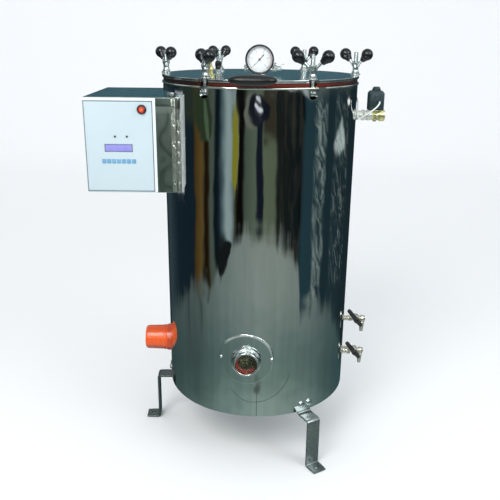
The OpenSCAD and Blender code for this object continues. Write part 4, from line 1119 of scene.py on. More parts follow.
# ------------------------------------------------------------------ sight port
def build_port():
    f = fr((-27, 0, 295), (0, -1, 0), (1, 0, 0))
    b = B()
    # thin round plate bent to the jacket
    rows = []
    for rho, lift, bead in ((33, 0.2, 0), (45, 0.2, 0), (58, 0.2, 0), (63.2, 0.2, 0), (63.8, 0.2, 0.45), (64.5, 0.2, 0.85), (65.1, 0.2, 0.6), (65.8, 0.15, 0.15), (66, -0.2, 0)):
        row = []
        for j in range(96):
            t = 2 * pi * j / 96
            x, z = -27 + rho * cos(t), 295 + rho * sin(t)
            far = abs((math.degrees(t) - 62 + 180) % 360 - 180)
            rr = R + lift + bead * max(0.0, min(1.0, (88 - far) / 22.0))
            row.append((x, -sqrt(rr * rr - x * x), z))
        rows.append(row)
    b.grid(rows, 0, None, wrap=True)
    for dx in (-61, 61):
        x = -27 + dx
        y = -sqrt(R * R - x * x)
        d = Vector((x, y, 0)).normalized()
        b.lathe([(4.2, -1), (4.2, 1.2), (3.6, 2.6), (2.2, 3.7), (0, 4.1)], fr((x, y, 295), d, (0, 0, 1)), 24, 0)
    ob = b.make("port_plate", "plate_steel", "vessel", (), "mirror_steel", sharp=40)
    r = B()
    r.lathe(rnd([(33.0, 226), (36.6, 232.6, 1.2), (35.3, 236, 1), (35.3, 248, 1.6), (32.2, 249.6, 0.6), (30.8, 250.4, 0.4), (30.8, 260.2, 1.6),
                 (29.4, 261.7, 0.8), (26.6, 261.7, 0.8), (25.5, 260.4, 0.5), (25.5, 257.6), (26.4, 257.6), (26.4, 247), (24, 247), (24, 176)], 5), f, 96)
    r.make("port_ring", "port_steel", "vessel", "sight_port_ring", "mirror_steel", sharp=30)
    g = B()
    g.lathe(rnd([(24.0, 247.4, 0.4), (19.6, 247.2, 0.8), (19.2, 248.8, 0.6), (21.0, 250.6, 0.8), (26.2, 250.8, 0.3), (26.2, 247.4, 0.3)], 3, True), f, 72, closed=True)
    g.make("port_gasket", "seal_red", "vessel", (), "seal_rubber")
    k = B()
    k.lathe(rnd([(0, 251), (26.2, 251, 0.5), (26.2, 257.3, 0.6), (0, 257.3)], 3), f, 72)
    k.make("port_pane", "port_glass", "vessel", "sight_glass", "port_glass", sharp=50)
    # what shows inside the glass: a disc at the tube's end, painted with the chamber's shade and a few spots of
    # reflected light
    w = B()
    w.lathe([(0, 236), (23.9, 236)], f, 48)
    w.make("port_water", "port_water", "vessel", (), "port_glass")


# ------------------------------------------------------------------ heater cap
def build_heater():
    f = fr((0, 0, 240), (-1, 0, 0), (0, 0, 1))
    b = B()
    prof = rnd([(30.8, 228), (35.8, 228), (35.8, 243.6, 1.6), (33.6, 245.2, 0.8), (33.2, 248, 0.6), (34.0, 249.4, 0.6), (34.0, 251.4, 0.6), (33.0, 252.8, 0.8),
                (31.8, 293, 2), (31.2, 298, 3.5), (27.5, 302, 2.2), (20, 302), (18.6, 301.3, 0.5), (0, 301.3)], 5)
    b.lathe(prof, f, 96)
    # the flange runs into the jacket; a cutter along the jacket is built but not used
    cut = B()
    cut.lathe([(0, 100), (R + 0.2, 100), (R + 0.2, 400), (0, 400)], None, 192)
    ob = b.make("heater_cover", "cap_orange", "vessel", "heater_cap", sharp=35)
    d = B()
    g = fr((0, 33, 200.5), (-1, 0, 0), (0, 0, 1))
    d.lathe(rnd([(11.1, 228), (11.1, 262, 1), (12.4, 263, 0.5), (12.4, 267, 1), (10.8, 270, 3), (6.6, 271.8, 2), (0, 271.9)], 5), g, 48)
    d.hexa(10.9, 268.5, 271.5, g)
    d.make("drain_plug", "fastener_steel", "vessel", (), "fastener_steel")


# ------------------------------------------------------------------ cocks
def build_cocks():
    b = B()
    for z, rn in ((302, 6.3), (206, 10)):
        f = fr((0, 0, z), (1, 0, 0), (0, 0, 1))
        b.lathe(rnd([(rn + 3.5, 233), (rn + 2.6, 235.2, 1), (rn + 0.1, 237.4, 1), (rn + 0.1, 251)], 3), f, 32)
        b.hexa(rn + 1.9, 250, 258.6, f)
        b.lathe(rnd([(6.2, 258), (6.8, 259.5, 0.6), (6.8, 262), (8.6, 264, 1.5), (8.8, 276, 1.5), (6.6, 279, 1.0), (6.6, 281)], 3), f, 32)
        b.ball(8.6, fr((286, 0, z)), 0, 32, 16)
        b.lathe(rnd([(7.4, 292.4, 0.8), (7.4, 294.2, 0.8), (0, 294.9)], 3), f, 28)
        d = fr((286, 0, z), (0, 0, -1), (1, 0, 0))
        b.lathe(rnd([(6.6, 4), (6.4, 9, 1), (7.0, 10, 0.5), (7.0, 12, 0.5), (6.2, 13), (6.0, 20), (4.2, 37, 0.3), (3.9, 38, 0.3), (3.1, 38), (3.0, 8)], 3), d, 32)
        t = fr((270, 0, z), (0, -1, 0), (1, 0, 0))
        b.lathe(rnd([(0, -11.4), (6, -11.4, 0.5), (9.2, -10.4, 0.8), (9.5, -8, 0.5), (9.5, 9.4, 0.5), (8.4, 11, 0.6), (3, 11), (2.95, 17.4, 0.3), (0, 17.6)], 3), t, 36)
        b.hexa(4.6, -13.6, -11, t)
    b.make("cocks", "nickel", "vessel", "cock_bodies", "fitting_steel", sharp=34)
    for nm, z in (("upper", 302), ("lower", 206)):
        l = B()
        t = fr((270, -11.3, z), (0, -1, 0), (1, 0, 0))
        lf = t @ Matrix.Rotation(radians(129), 4, "Z")
        l.lathe(rnd([(3.06, 0), (8, 0, 0.6), (8, 8.2, 1.2), (5, 9, 0.6), (3.06, 9)], 3, True), t, 36, closed=True)
        out = rnd([(-21.4, -4.0, 3.6), (-14, -5.2), (0, -6.4), (20, -5.6), (39.3, -5.0, 4.6), (39.3, 5.0, 4.6), (20, 5.6), (0, 6.4), (-14, 5.2), (-21.4, 4.0, 3.6)], 5, True)
        l.prism(out, 1.2, 7.6, 1.4, 0, lf, 3)
        # raised rib along the handle
        l.prism(rnd([(12, -2.2, 2), (34, -2.0, 2), (34, 2.0, 2), (12, 2.2, 2)], 4, True), 7.0, 8.6, 0.5, 0, lf, 2)
        ob = l.make(nm + "_cock_handle", "lever_black", nm + "_cock", nm + "_cock_lever")


# ------------------------------------------------------------------ solenoid valve and its lead
LEAD = [(289, -21, 881), (288, -26, 879), (283, -30, 872), (274, -31, 864), (263, -30, 856), (252, -28, 849),
        (245, -26, 843), (240, -24, 842), (237.5, -22, 848), (237.3, -20, 858), (237.2, -18.5, 870),
        (237, -17.8, 880), (234.5, -17.5, 885.5), (229, -17.5, 886)]


def smooth(p, m):
    p = [Vector(q) for q in p]
    out = []
    n = len(p) - 1
    for i in range(n):
        a, b, c, d = p[max(i - 1, 0)], p[i], p[i + 1], p[min(i + 2, n)]
        for k in range(m):
            t = k / m
            out.append(0.5 * (2 * b + (c - a) * t + (2 * a - 5 * b + 4 * c - d) * t * t + (3 * b - 3 * c + d - a) * t * t * t))
    return out + [p[-1]]


def build_solenoid():
    f = fr((0, 0, 847.5), (1, 0, 0), (0, 0, 1))
    # steel pipe, weld collar and union
    p = B()
    p.lathe(rnd([(17, 231), (15, 235.4, 2), (12, 238.6, 2), (10.6, 240, 1), (10.6, 252)], 4), f, 44)
    p.hexa(13.2, 250.5, 257.5, f)
    p.lathe(rnd([(10.8, 257.5), (10.8, 261), (12.6, 262, 0.5), (12.6, 271, 1.2), (11, 273, 0.5), (11, 275)], 3), f, 44)
    p.make("vent_pipe", "pipe_pale", "vessel", (), "fitting_steel")
    b = B()
    b.lathe(rnd([(0, 273.5), (10.6, 273.5, 0.5), (10.9, 277, 1), (10.2, 284, 3), (10.8, 290, 3), (13.4, 293.0, 1.5), (14.4, 296, 2),
                 (14.6, 302, 3), (13.4, 306.0, 1.6), (8.6, 306.4, 0.6), (6.0, 305.8), (6.0, 292), (0, 292)], 5), f, 56)
    s = fr((283, 0, 847.5))
    b.lathe(rnd([(0, -15), (4.4, -15, 0.5), (4.4, -12, 0.5), (9.2, -9.6, 1.5), (9.8, -4, 3), (9.8, 4, 3), (11.4, 9, 1.5), (11.4, 12.9, 0.6), (6, 12.9)], 4), s, 44)
    b.hexa(12.6, 274.2, 279.0, f @ Matrix.Rotation(radians(30), 4, "Z"), 0, 0.0)
    b.make("valve_body", "yellow_brass", "vessel", "solenoid_body", "yellow_brass", sharp=32)
    c = B()
    z0 = 847.5 + 13.2
    out = rnd([(264.5, -17, 4), (301.4, -17, 4), (301.4, 17, 4), (264.5, 17, 4)], 5, True)
    c.prism(out, z0, z0 + 41, 1.2, 0, None, 3)
    # chamfered roof
    def rect(ix, iy, z, r):
        q = rnd([(264.5 + ix, -17 + iy, r), (301.4 - ix, -17 + iy, r), (301.4 - ix, 17 - iy, r), (264.5 + ix, 17 - iy, r)], 5, True)
        return [(x, y, z) for x, y in q]
    rows = [rect(0.6, 0.6, z0 + 40.4, 4), rect(3.2, 3.2, z0 + 44.6, 3.5), rect(4.6, 4.4, z0 + 45.6, 3)]
    c.grid(rows, 0, None, wrap=True)
    c.add(rows[-1], [tuple(range(len(rows[-1])))])
    s = fr((283, 0, 0))
    c.hexa(10.8, 906.0, 910.4, s)
    c.lathe(rnd([(9.4, 910.2), (9.2, 912.6, 1), (7.2, 915.6, 1.5), (0, 916.0)], 4), s, 36)
    # oval moulding round the lead's entry, ribs at the sides
    oval = [(284.5 + 8.2 * cos(2 * pi * q / 40), -17.0, 884 + 13 * sin(2 * pi * q / 40)) for q in range(40)]
    c.tube(oval, 1.0, 10, closed=True, up=(0, 1, 0))
    for zz in (z0 + 5, z0 + 36):
        c.rbox((266.5, -17.7, zz - 0.8), (299.4, -16.5, zz + 0.8), 0.4, 2)
    g = fr((289, -16, 881), (0, -1, 0), (1, 0, 0))
    c.lathe(rnd([(4.6, 0), (4.6, 3, 0.8), (3.2, 5, 0.5), (2.1, 5.1)], 3), g, 24)
    c.make("coil", "coil_plastic", "vessel", "solenoid_coil", "coil_plastic", sharp=35)
    w = B()
    path = smooth(LEAD, 8)
    w.tube(path, 1.95, 16)
    w.make("lead", "cable_white", "vessel", "solenoid_cable", "cable_white", sharp=60)
    # grommet in the jacket
    q = B()
    a = math.atan2(-17.5, 233.3)
    d = Vector((cos(a), sin(a), 0))
    q.lathe(rnd([(2.0, -3), (2.0, 1.6, 0.4), (3.4, 2.2, 0.6), (5.4, 1.4, 0.6), (5.6, 0, 0.3)], 3), fr(Vector((0, 0, 886)) + d * R, d, (0, 0, 1)), 28)
    q.make("lead_grommet", "lever_black", "vessel", (), "lever_black")


# ------------------------------------------------------------------ control box
BX0, BX1, BY0, BZ0, BZ1 = -373.0, -169.0, -250.0, 706.0, 907.5


def arc_outline(x0, x1, y0, y1, rad, corner):
    """Footprint of the box: front y0 to back y1, with the jacket's arc of radius rad on the right."""
    a1 = math.atan2(-sqrt(rad * rad - x1 * x1), x1)
    xe = -sqrt(rad * rad - y1 * y1)
    a2 = math.atan2(y1, xe)
    a1 += 2 * pi if a1 < 0 else 0
    a2 += 2 * pi if a2 < 0 else 0
    arc = [(rad * cos(a1 + (a2 - a1) * q / 40), rad * sin(a1 + (a2 - a1) * q / 40)) for q in range(41)]
    head = rnd([(x0, y1 - 20), (x0, y0, corner), (x1, y0, corner), (x1, y0 + 20)], 5)
    return head + arc + [(x0, y1)]


def build_box():
    b = B()
    out = arc_outline(BX0, BX1, BY0 + 10, 5, R + 0.05, 0.3)
    b.prism(out, BZ0, BZ1, 1.0, 0, None, 3)
    c = B()
    inner = arc_outline(BX0 + 1.5, BX1 - 1.5, BY0 - 20, 3.5, R + 1.55, 0.0)
    c.prism(inner, BZ0 + 1.5, BZ1 - 1.5, 0)
    h = B()
    h.lathe([(0, BZ1 - 5), (3.5, BZ1 - 5), (3.5, BZ1 + 15), (0, BZ1 + 15)], fr((-188, -232, 0)), 24)
    ob = b.make("box_shell", ["box_steel", "box_side"], "vessel", "control_box", "mirror_steel", sharp=30, cut=[c, h])
    # the right faces take the pale copy of the steel: painted light
    for poly in ob.data.polygons:
        if poly.normal.x > 0.95 and poly.center.x > (BX1 - 0.8 + OX) / 1000:
            poly.material_index = 1
    # front strip, hinge knuckles and leaf
    s = B()
    s.rbox((BX1 - 1.5, BY0 + 0.8, BZ0), (BX1, BY0 + 12, BZ1), 0.5, 2)
    hx, hy = -174.5, -248.0
    n = 9
    hh = (BZ1 - BZ0 - 4) / n
    d = B()
    for i in range(n):
        za = BZ0 + 2 + i * hh + 0.15
        zb = za + hh - 0.3
        t = s if i % 2 == 0 else d
        if i % 2 == 0:
            t.lathe(rnd([(0, za), (3.5, za, 0.5), (3.5, zb, 0.5), (0, zb)], 3), fr((hx, hy, 0)), 28)
            t.rbox((hx, hy - 1.2, za), (BX1, hy + 0.2, zb), 0.3, 1)
        else:
            t.lathe(rnd([(1.66, za), (3.5, za, 0.5), (3.5, zb, 0.5), (1.66, zb)], 3, True), fr((hx, hy, 0)), 28, closed=True)
            t.rbox((hx - 6.3, hy - 1.2, za), (hx - 1.8, hy + 0.2, zb), 0.3, 1)
    s.lathe([(0, BZ0 + 2.2), (1.6, BZ0 + 2.2), (1.6, BZ1 - 2.2), (0, BZ1 - 2.2)], fr((hx, hy, 0)), 20)
    d.rbox((-189.0, BY0 - 1.3, BZ0 + 2), (-179.4, BY0 + 0.3, BZ1 - 2), 0.5, 2)
    for q in range(5):
        d.lathe(rnd([(2.6, 0), (2.6, 0.9, 0.5), (0, 1.2)], 3), fr((-184.6, BY0 - 1.25, BZ0 + 18 + q * 41.5), (0, -1, 0), (1, 0, 0)), 20)
    # gland
    g = fr((-188, -232, 0))
    ob = s.make("hinge_fixed", ["hinge_steel", "box_side"], "vessel", (), "mirror_steel")
    # the right faces take the pale copy of the steel: painted light
    for poly in ob.data.polygons:
        if poly.normal.x > 0.95 and poly.center.x > (BX1 - 0.4 + OX) / 1000:
            poly.material_index = 1
    gl = B()
    gl.hexa(6.5, BZ1, BZ1 + 4, g, 0, 3.5)
    gl.lathe(rnd([(3.5, BZ1 + 3.9), (5.4, BZ1 + 3.9), (5.2, BZ1 + 8.6, 0.8), (4.2, BZ1 + 9.4, 0.4), (3.5, BZ1 + 9.2), (3.5, BZ1 - 1.5)], 3), g, 28)
    gl.make("box_gland", "fitting_bright", "vessel", (), "fitting_steel")
    # door: folded tray
    out = [(BX0, BZ0), (-179.3, BZ0), (-179.3, BZ1), (BX0, BZ1)]
    df = fr((0, BY0, 0), (0, 1, 0), (1, 0, 0))   # local x right, local y down, local z into the box
    d2 = B()
    r4 = rnd([(BX0, -BZ0, 2.5), (BX0, -BZ1, 2.5), (-179.3, -BZ1, 2.5), (-179.3, -BZ0, 2.5)], 4, True)
    d2.prism(r4[::-1], 0, 9.7, 1.1, 0, df, 3)
    ci = B()
    ci.rbox((BX0 + 1.5, BY0 + 1.5, BZ0 + 1.5), (-180.8, BY0 + 20, BZ1 - 1.5), 0)
    ci2 = B()
    lf = fr((-249.5, BY0 - 1.2, 883), (0, -1, 0), (1, 0, 0))
    ci2.lathe([(0, -20), (8, -20), (8, 10), (0, 10)], lf, 32)
    ci3 = B()
    ci3.rbox((-331.6, BY0 - 5, 794), (-271.4, BY0 + 3, 810.2), 0)
    ci4 = B()
    ci4.rbox((-330.2, BY0 - 5, 794.9), (-272.8, BY0 + 3, 809.5), 0)
    d2.make("door_panel", "door_steel", "door", "box_door", "mirror_steel", sharp=30, cut=[ci, ci2, ci3])
    d.make("hinge_door", "hinge_steel", "door", (), "mirror_steel")
    # film label with its printed frame, keys and lights
    l = B()
    lx0, lx1, lz0, lz1 = BX0 + 0.5, -221.0, BZ0 + 0.6, BZ1 - 0.6
    q = rnd([(lx0, -lz0, 2), (lx0, -lz1, 2), (lx1, -lz1, 2), (lx1, -lz0, 2)], 4, True)
    l.prism(q[::-1], -0.9, 0, 0.25, 0, df, 2)
    # the photo's right and bottom edges of the film are bright where the sheet curls
    l.make("panel_film", "label_blue", "door", "panel_label", "label_blue", sharp=40, cut=[ci2, ci4])
    e = B()
    y = BY0 - 0.95

    def bar(x0, x1, z0, z1, mi=0, t=0.12):
        e.rbox((x0, y - t, z0), (x1, y + 0.05, z1), 0.05, 1, mi)
    gx0, gx1, gz0, gz1 = BX0 + 1.2, -227.0, 708.2, 900.8
    bar(gx0, gx1, gz1 - 1.9, gz1)
    bar(gx0, gx1, gz0, gz0 + 2.2)
    bar(gx0, gx0 + 1.7, gz0, gz1)
    bar(gx1 - 1.9, gx1, gz0, gz1)
    # bare white margins above and to the right of the printed area
    bar(gx0 - 0.6, -221.2, gz1 + 0.1, 906.7, 4, 0.05)
    bar(gx1 + 0.1, -221.2, gz0 - 0.6, gz1 + 0.1, 4, 0.05)
    # keys
    for k in range(7):
        x0 = -338.2 + k * 10.6
        qk = rnd([(x0, -769, 1.2), (x0, -778.6, 1.2), (x0 + 9.0, -778.6, 1.2), (x0 + 9.0, -769, 1.2)], 3, True)
        e.prism(qk[::-1], -1.55, -0.85, 0.3, 1, df, 2)
    # lights
    for x in (-308, -283):
        e.lathe([(2.5, 0.9), (2.5, 1.3), (2.1, 1.5)], fr((x, BY0, 826.4), (0, -1, 0), (1, 0, 0)), 24, 0)
        e.lathe([(2.1, 1.2), (2.0, 1.9), (1.4, 2.5), (0, 2.8)], fr((x, BY0, 826.4), (0, -1, 0), (1, 0, 0)), 24, 2)
    # display surround
    fx0, fx1, fz0, fz1 = -331.2, -271.8, 793.9, 810.5
    bar(fx0, fx1, fz1 - 1.6, fz1, 3, 0.35)
    bar(fx0, fx1, fz0, fz0 + 1.6, 3, 0.35)
    bar(fx0, fx0 + 1.6, fz0, fz1, 3, 0.35)
    bar(fx1 - 1.6, fx1, fz0, fz1, 3, 0.35)
    e.make("panel_print", ["print_grey", "key_blue", "led_dark", "display_frame", "door_white"], "door", (), "label_blue")
    # lamp
    p = B()
    p.lathe(rnd([(8, -13, 0.6), (8, 0)], 2), lf, 36, 0)
    p.lathe(rnd([(8, -0.3), (10, -0.3), (10, 1.4, 0.8), (9.0, 2.6, 0.6), (8.2, 2.6)], 3), lf, 48, 0)
    p.lathe(rnd([(8.4, 2.3), (8.2, 3.4, 0.5), (7.6, 4.6, 1.0), (6.0, 6.0, 1.6), (0, 6.9)], 5), lf, 48, 1)
    p.lathe([(0, -13), (6, -13), (6, -17), (0, -17)], lf, 24, 0)
    p.make("pilot_lamp", ["lamp_ring", "lamp_red"], "door", "power_lamp", "lamp_red")
    v = B()
    v.rbox((-331.4, BY0 + 0.1, 794.2), (-271.6, BY0 + 2.4, 810.0), 0.3, 2)
    v.rbox((-330.1, BY0 - 1.0, 795.0), (-272.9, BY0 + 0.3, 809.4), 0.3, 2)
    v.make("display", "display_violet", "door", "display_window", "display_violet")


# ------------------------------------------------------------------ legs
def build_legs():
    b = B()
    path2 = rnd([(229, 172), (229, 129.5, 8), (271.5, 129.5, 5.5), (271.5, 2.5, 5.5), (307.2, 2.5)], 7)
    half, th, c = 18.5, 2.5, 0.9
    sec = rnd([(-th, -half, c), (th, -half, c), (th, half, c), (-th, half, c)], 3, True)
    legs = [61.2, 181.2, 301.2]
    cuts = []
    for a in legs:
        f = fr((0, 0, 0), (0, 0, 1), (cos(radians(a)), sin(radians(a)), 0))
        pts = []
        for k in range(len(path2) - 1):
            p, q = Vector(path2[k]), Vector(path2[k + 1])
            m = max(1, int((q - p).length / 12))
            for j in range(m):
                w = p + (q - p) * j / m
                pts.append(w)
        pts.append(Vector(path2[-1]))
        rows = []
        n = len(pts)
        for k, p in enumerate(pts):
            t = (pts[min(k + 1, n - 1)] - pts[max(k - 1, 0)]).normalized()
            nr = Vector((-t.y, t.x))
            shrink = 1.0
            if k in (0, n - 1):
                shrink = (half - 0.8) / half
            rows.append([(p.x + nr.x * u * (0.7 if k in (0, n - 1) else 1), w * shrink, p.y + nr.y * u * (0.7 if k in (0, n - 1) else 1)) for u, w in sec])
        # the end rows are moved in a little so that the cut edges are rounded
        b.grid(rows, 0, f, wrap=True)
        m = len(sec)
        for row, flip in ((rows[0], True), (rows[-1], False)):
            b.add(row, [tuple(range(m))[::-1] if flip else tuple(range(m))], 0, f)
        h = B()
        h.lathe([(0, -3), (5, -3), (5, 9), (0, 9)], radial(a, 291, 0), 28)
        cuts.append(h)
    b.make("leg_straps", "leg_steel", "vessel", "legs", "leg_steel", sharp=40, cut=cuts)
    s = B()
    for a in legs:
        for t in (-11.5, 11.5):
            d = (cos(radians(a)), sin(radians(a)), 0)
            o = Vector(polar(a, 0, 158)) + Vector((-sin(radians(a)), cos(radians(a)), 0)) * t
            f = fr(o, d, (0, 0, 1))
            # the front right leg's bolts take the bright steel, the others the darker copy: painted highlight and
            # painted shade
            mi = 1 if a > 300 else 0
            s.lathe(rnd([(0, 233), (8.2, 233.6, 0.2), (8.2, 235.0, 0.4), (4, 235.2)], 2), f, 32, mi)
            s.hexa(7, 235.0, 239.0, f, mi)
            s.hexa(7, 221.5, 226.4, f, mi)
            s.lathe([(4, 221), (4, 219.5), (3.4, 219), (0, 219)], f, 20, mi)
    s.make("leg_fixings", ["bolt_dull", "fitting_bright"], "vessel", "leg_bolts", "fastener_steel")


build_jacket()
build_lid()
build_clamps()
build_gauge()
build_lid_fittings()
build_port()
build_heater()
build_cocks()
build_solenoid()
build_box()
build_legs()
for n in ("valve_body", "coil", "port_ring", "port_pane", "box_shell", "hinge_fixed", "box_gland", "door_panel", "hinge_door", "panel_film", "panel_print", "pilot_lamp", "display"):
    bpy.data.objects[n].visible_glossy = False
NODES["control_board"].visible_glossy = False


# ------------------------------------------------------------------ floor, world, lights
def floor_tone(g):
    """Pale floor, paler still up the far wall."""
    x, y, z = g.sep(g.coord())
    return g.mix(g.range(y, 0.8, 4.0, 0.0, 1.0, True), (0.86, 0.87, 0.87), (0.97, 0.975, 0.975))


def make_stage():
    me = bpy.data.meshes.new("floor")
    w = 4.6
    vs, fs = [], []
    prof = [(-4.6, 0.0), (3.4, 0.0)] + [(3.4 + 1.2 * sin(a), 1.2 - 1.2 * cos(a)) for a in [radians(x * 7.5) for x in range(1, 13)]] + [(4.6, 4.2)]
    for y, z in prof:
        for x in (-w, w):
            vs.append((x, y, z - 0.0002))
    for i in range(len(prof) - 1):
        fs.append((2 * i, 2 * i + 1, 2 * i + 3, 2 * i + 2))
    me.from_pydata(vs, [], fs)
    for p in me.polygons:
        p.use_smooth = True
    ob = bpy.data.objects.new("floor", me)
    SC.collection.objects.link(ob)
    me.materials.append(principled("floor_pale", base=floor_tone, rough=0.7, spec=0.1))
    ob.visible_glossy = False


def make_world():
    w = bpy.data.worlds.new("studio")
    SC.world = w
    w.use_nodes = True
    g = G(w.node_tree)
    out = g.n.new("ShaderNodeOutputWorld")
    d = g.coord("Generated")
    x, y, z = g.sep(d)
    # azimuth of the direction, 0 towards the front (-Y), -1..1 over the full turn; t runs 0..1
    az = g.math("DIVIDE", g.math("ARCTAN2", x, g.math("MULTIPLY", y, -1.0)), pi)
    el = g.math("DIVIDE", g.math("ARCSINE", z), pi / 2)
    wob = g.noise(g.comb(g.math("MULTIPLY", az, 14.0), g.math("MULTIPLY", el, 16.0), 0.3), scale=1.0, detail=3, rough=0.6)
    t0 = g.math("ADD", g.math("MULTIPLY", az, 0.5), 0.5)
    t = g.math("ADD", t0, g.math("MULTIPLY", g.math("SUBTRACT", wob, 0.5), 0.010))
    fine = g.noise(g.comb(g.math("MULTIPLY", t0, 95.0), g.math("MULTIPLY", el, 22.0), 1.7), scale=1.0, detail=4, rough=0.6)
    slant = g.noise(g.comb(g.math("ADD", g.math("MULTIPLY", t0, 74.0), g.math("MULTIPLY", el, 90.0)), g.math("MULTIPLY", el, 62.0), 4.1),
                    scale=1.0, detail=6, rough=0.72, dist=1.1)

    def band(lo, hi, soft, v):
        """1 between lo and hi of v, with soft edges."""
        return g.math("MULTIPLY", g.range(v, lo - soft, lo + soft, 0, 1, True), g.range(v, hi - soft, hi + soft, 1, 0, True))

    def patch(col, under, a, b, ta, ea, lo, hi, te=0.006, amount=1.0):
        m = g.math("MULTIPLY", band(a, b, ta, t), band(lo, hi, te, el))
        if isinstance(ea, bpy.types.NodeSocket):
            m = g.math("MULTIPLY", m, ea)
        if amount != 1.0:
            m = g.math("MULTIPLY", m, amount)
        return g.mix(m, under, col)

    def oval(col, under, tc, ec, rt, re, soft=0.25, shear=0.0, tap=0.0):
        """Soft oval; shear leans it, tap narrows it towards its upper end."""
        v = g.math("DIVIDE", g.math("SUBTRACT", el, ec), re)
        u = g.math("DIVIDE", g.math("SUBTRACT", g.math("SUBTRACT", t, tc), g.math("MULTIPLY", v, shear)), rt)
        if tap:
            u = g.math("DIVIDE", u, g.math("SUBTRACT", 1.0, g.math("MULTIPLY", v, tap)))
        q = g.math("ADD", g.math("MULTIPLY", u, u), g.math("MULTIPLY", v, v))
        return g.mix(g.range(q, 1 - soft, 1 + soft, 1, 0, True), under, col)

    navy = (0.009, 0.020, 0.029)
    room = g.ramp(t, [
        (0.000, (0.020, 0.040, 0.048)), (0.060, (0.012, 0.024, 0.030)), (0.100, (0.036, 0.060, 0.070)), (0.170, navy),
        (0.262, (0.009, 0.018, 0.026)), (0.270, (0.075, 0.042, 0.012)), (0.296, (0.130, 0.080, 0.022)), (0.306, (0.055, 0.046, 0.028)),
        (0.311, (0.010, 0.006, 0.002)), (0.326, (0.022, 0.012, 0.004)), (0.335, (0.080, 0.100, 0.080)), (0.350, (0.085, 0.110, 0.090)),
        (0.357, (0.004, 0.010, 0.013)), (0.370, (0.005, 0.013, 0.018)), (0.379, (0.09, 0.14, 0.15)), (0.392, (0.34, 0.43, 0.43)),
        (0.402, (0.30, 0.38, 0.38)), (0.409, (0.14, 0.18, 0.18)), (0.414, (0.05, 0.055, 0.035)), (0.422, (0.004, 0.004, 0.003)),
        (0.444, (0.004, 0.004, 0.004)), (0.453, (0.075, 0.100, 0.075)), (0.484, (0.105, 0.140, 0.100)), (0.510, (0.120, 0.150, 0.100)),
        (0.550, (0.115, 0.140, 0.092)), (0.558, (0.013, 0.016, 0.014)), (0.626, (0.007, 0.012, 0.013)), (0.634, (0.003, 0.005, 0.007)),
        (0.646, (0.019, 0.050, 0.064)), (0.690, (0.019, 0.048, 0.060)), (0.860, (0.014, 0.028, 0.034)), (1.000, (0.010, 0.018, 0.026))])
    # dark top of the olive stretch and of the navy one
    room = patch((0.040, 0.036, 0.024), room, 0.512, 0.556, 0.004, 1, -0.104, 0.0, 0.010)
    room = patch((0.030, 0.045, 0.030), room, 0.200, 0.336, 0.012, 1, -0.082, 0.0, 0.006, 0.75)
    # yellow sliver, then the black strip and its light edge
    # the pale sheet is wider at its top
    room = patch((0.26, 0.33, 0.33), room, 0.404, 0.4195, 0.002, 1, -0.0725, 0.0, 0.004)
    room = oval((0.26, 0.25, 0.024), room, 0.4150, -0.112, 0.0110, 0.0420, 0.12, 0.0015)
    room = patch((0.22, 0.21, 0.17), room, 0.4215, 0.4265, 0.002, fine, -0.150, -0.075, 0.010, 0.8)
    # green leaf
    room = oval((0.030, 0.046, 0.024), room, 0.308, -0.074, 0.036, 0.024, 0.2, -0.006)
    room = oval((0.085, 0.130, 0.075), room, 0.322, -0.078, 0.010, 0.019, 0.5, -0.006)
    # dark figure in the middle with two bright glints
    room = oval((0.17, 0.18, 0.15), room, 0.474, -0.074, 0.032, 0.017, 0.2)
    room = oval((0.008, 0.010, 0.018), room, 0.496, -0.072, 0.038, 0.0165, 0.2)
    room = patch((0.009, 0.012, 0.022), room, 0.4885, 0.5095, 0.003, 1, -0.186, -0.075, 0.012)
    room = oval((0.80, 0.82, 0.90), room, 0.4925, -0.0625, 0.0085, 0.0028, 0.4)
    room = oval((0.85, 0.86, 0.95), room, 0.4935, -0.0735, 0.0140, 0.0046, 0.35)
    room = oval((0.02, 0.02, 0.03), room, 0.4915, -0.0690, 0.0085, 0.0026, 0.5)
    # mottling of the dark brown stretch
    room = g.mix(g.math("MULTIPLY", band(0.556, 0.640, 0.006, t), g.range(fine, 0.50, 0.72, 0.0, 0.55)), room, (0.060, 0.056, 0.044))
    # ragged pale streaks on the right
    s1 = g.math("MULTIPLY", band(0.689, 0.732, 0.007, t), band(-0.262, -0.052, 0.012, el))
    room = g.mix(g.math("MULTIPLY", s1, g.range(slant, 0.47, 0.62, 0.0, 1.0)), room, (0.34, 0.40, 0.38))
    room = g.mix(g.math("MULTIPLY", s1, g.range(slant, 0.44, 0.36, 0.0, 0.9)), room, (0.008, 0.012, 0.014))
    room = patch((0.014, 0.032, 0.040), room, 0.736, 0.768, 0.004, 1, -0.30, 0.0)
    s2 = g.math("MULTIPLY", band(0.772, 0.862, 0.006, t), band(-0.225, -0.050, 0.02, el))
    room = g.mix(g.math("MULTIPLY", s2, g.range(slant, 0.52, 0.66, 0.0, 0.9)), room, (0.26, 0.30, 0.29))
    drop = g.mix(g.range(slant, 0.40, 0.60, 0.0, 1.0), (0.22, 0.28, 0.275), (0.62, 0.70, 0.67))
    room = oval(drop, room, 0.803, -0.092, 0.027, 0.0165, 0.45, 0.004, 0.75)
    room = oval((1.2, 1.25, 1.2), room, 0.846, -0.0585, 0.014, 0.0034, 0.4)
    # pale strip beside the box, as the jacket mirrors its side
    strip = g.math("MULTIPLY", band(0.172, 0.2150, 0.002, t), band(-0.1465, -0.054, 0.002, el))
    room = g.mix(strip, room, g.ramp(fine, [(0.36, (0.16, 0.17, 0.19)), (0.48, (0.52, 0.55, 0.60)), (0.66, (0.80, 0.82, 0.90))]))

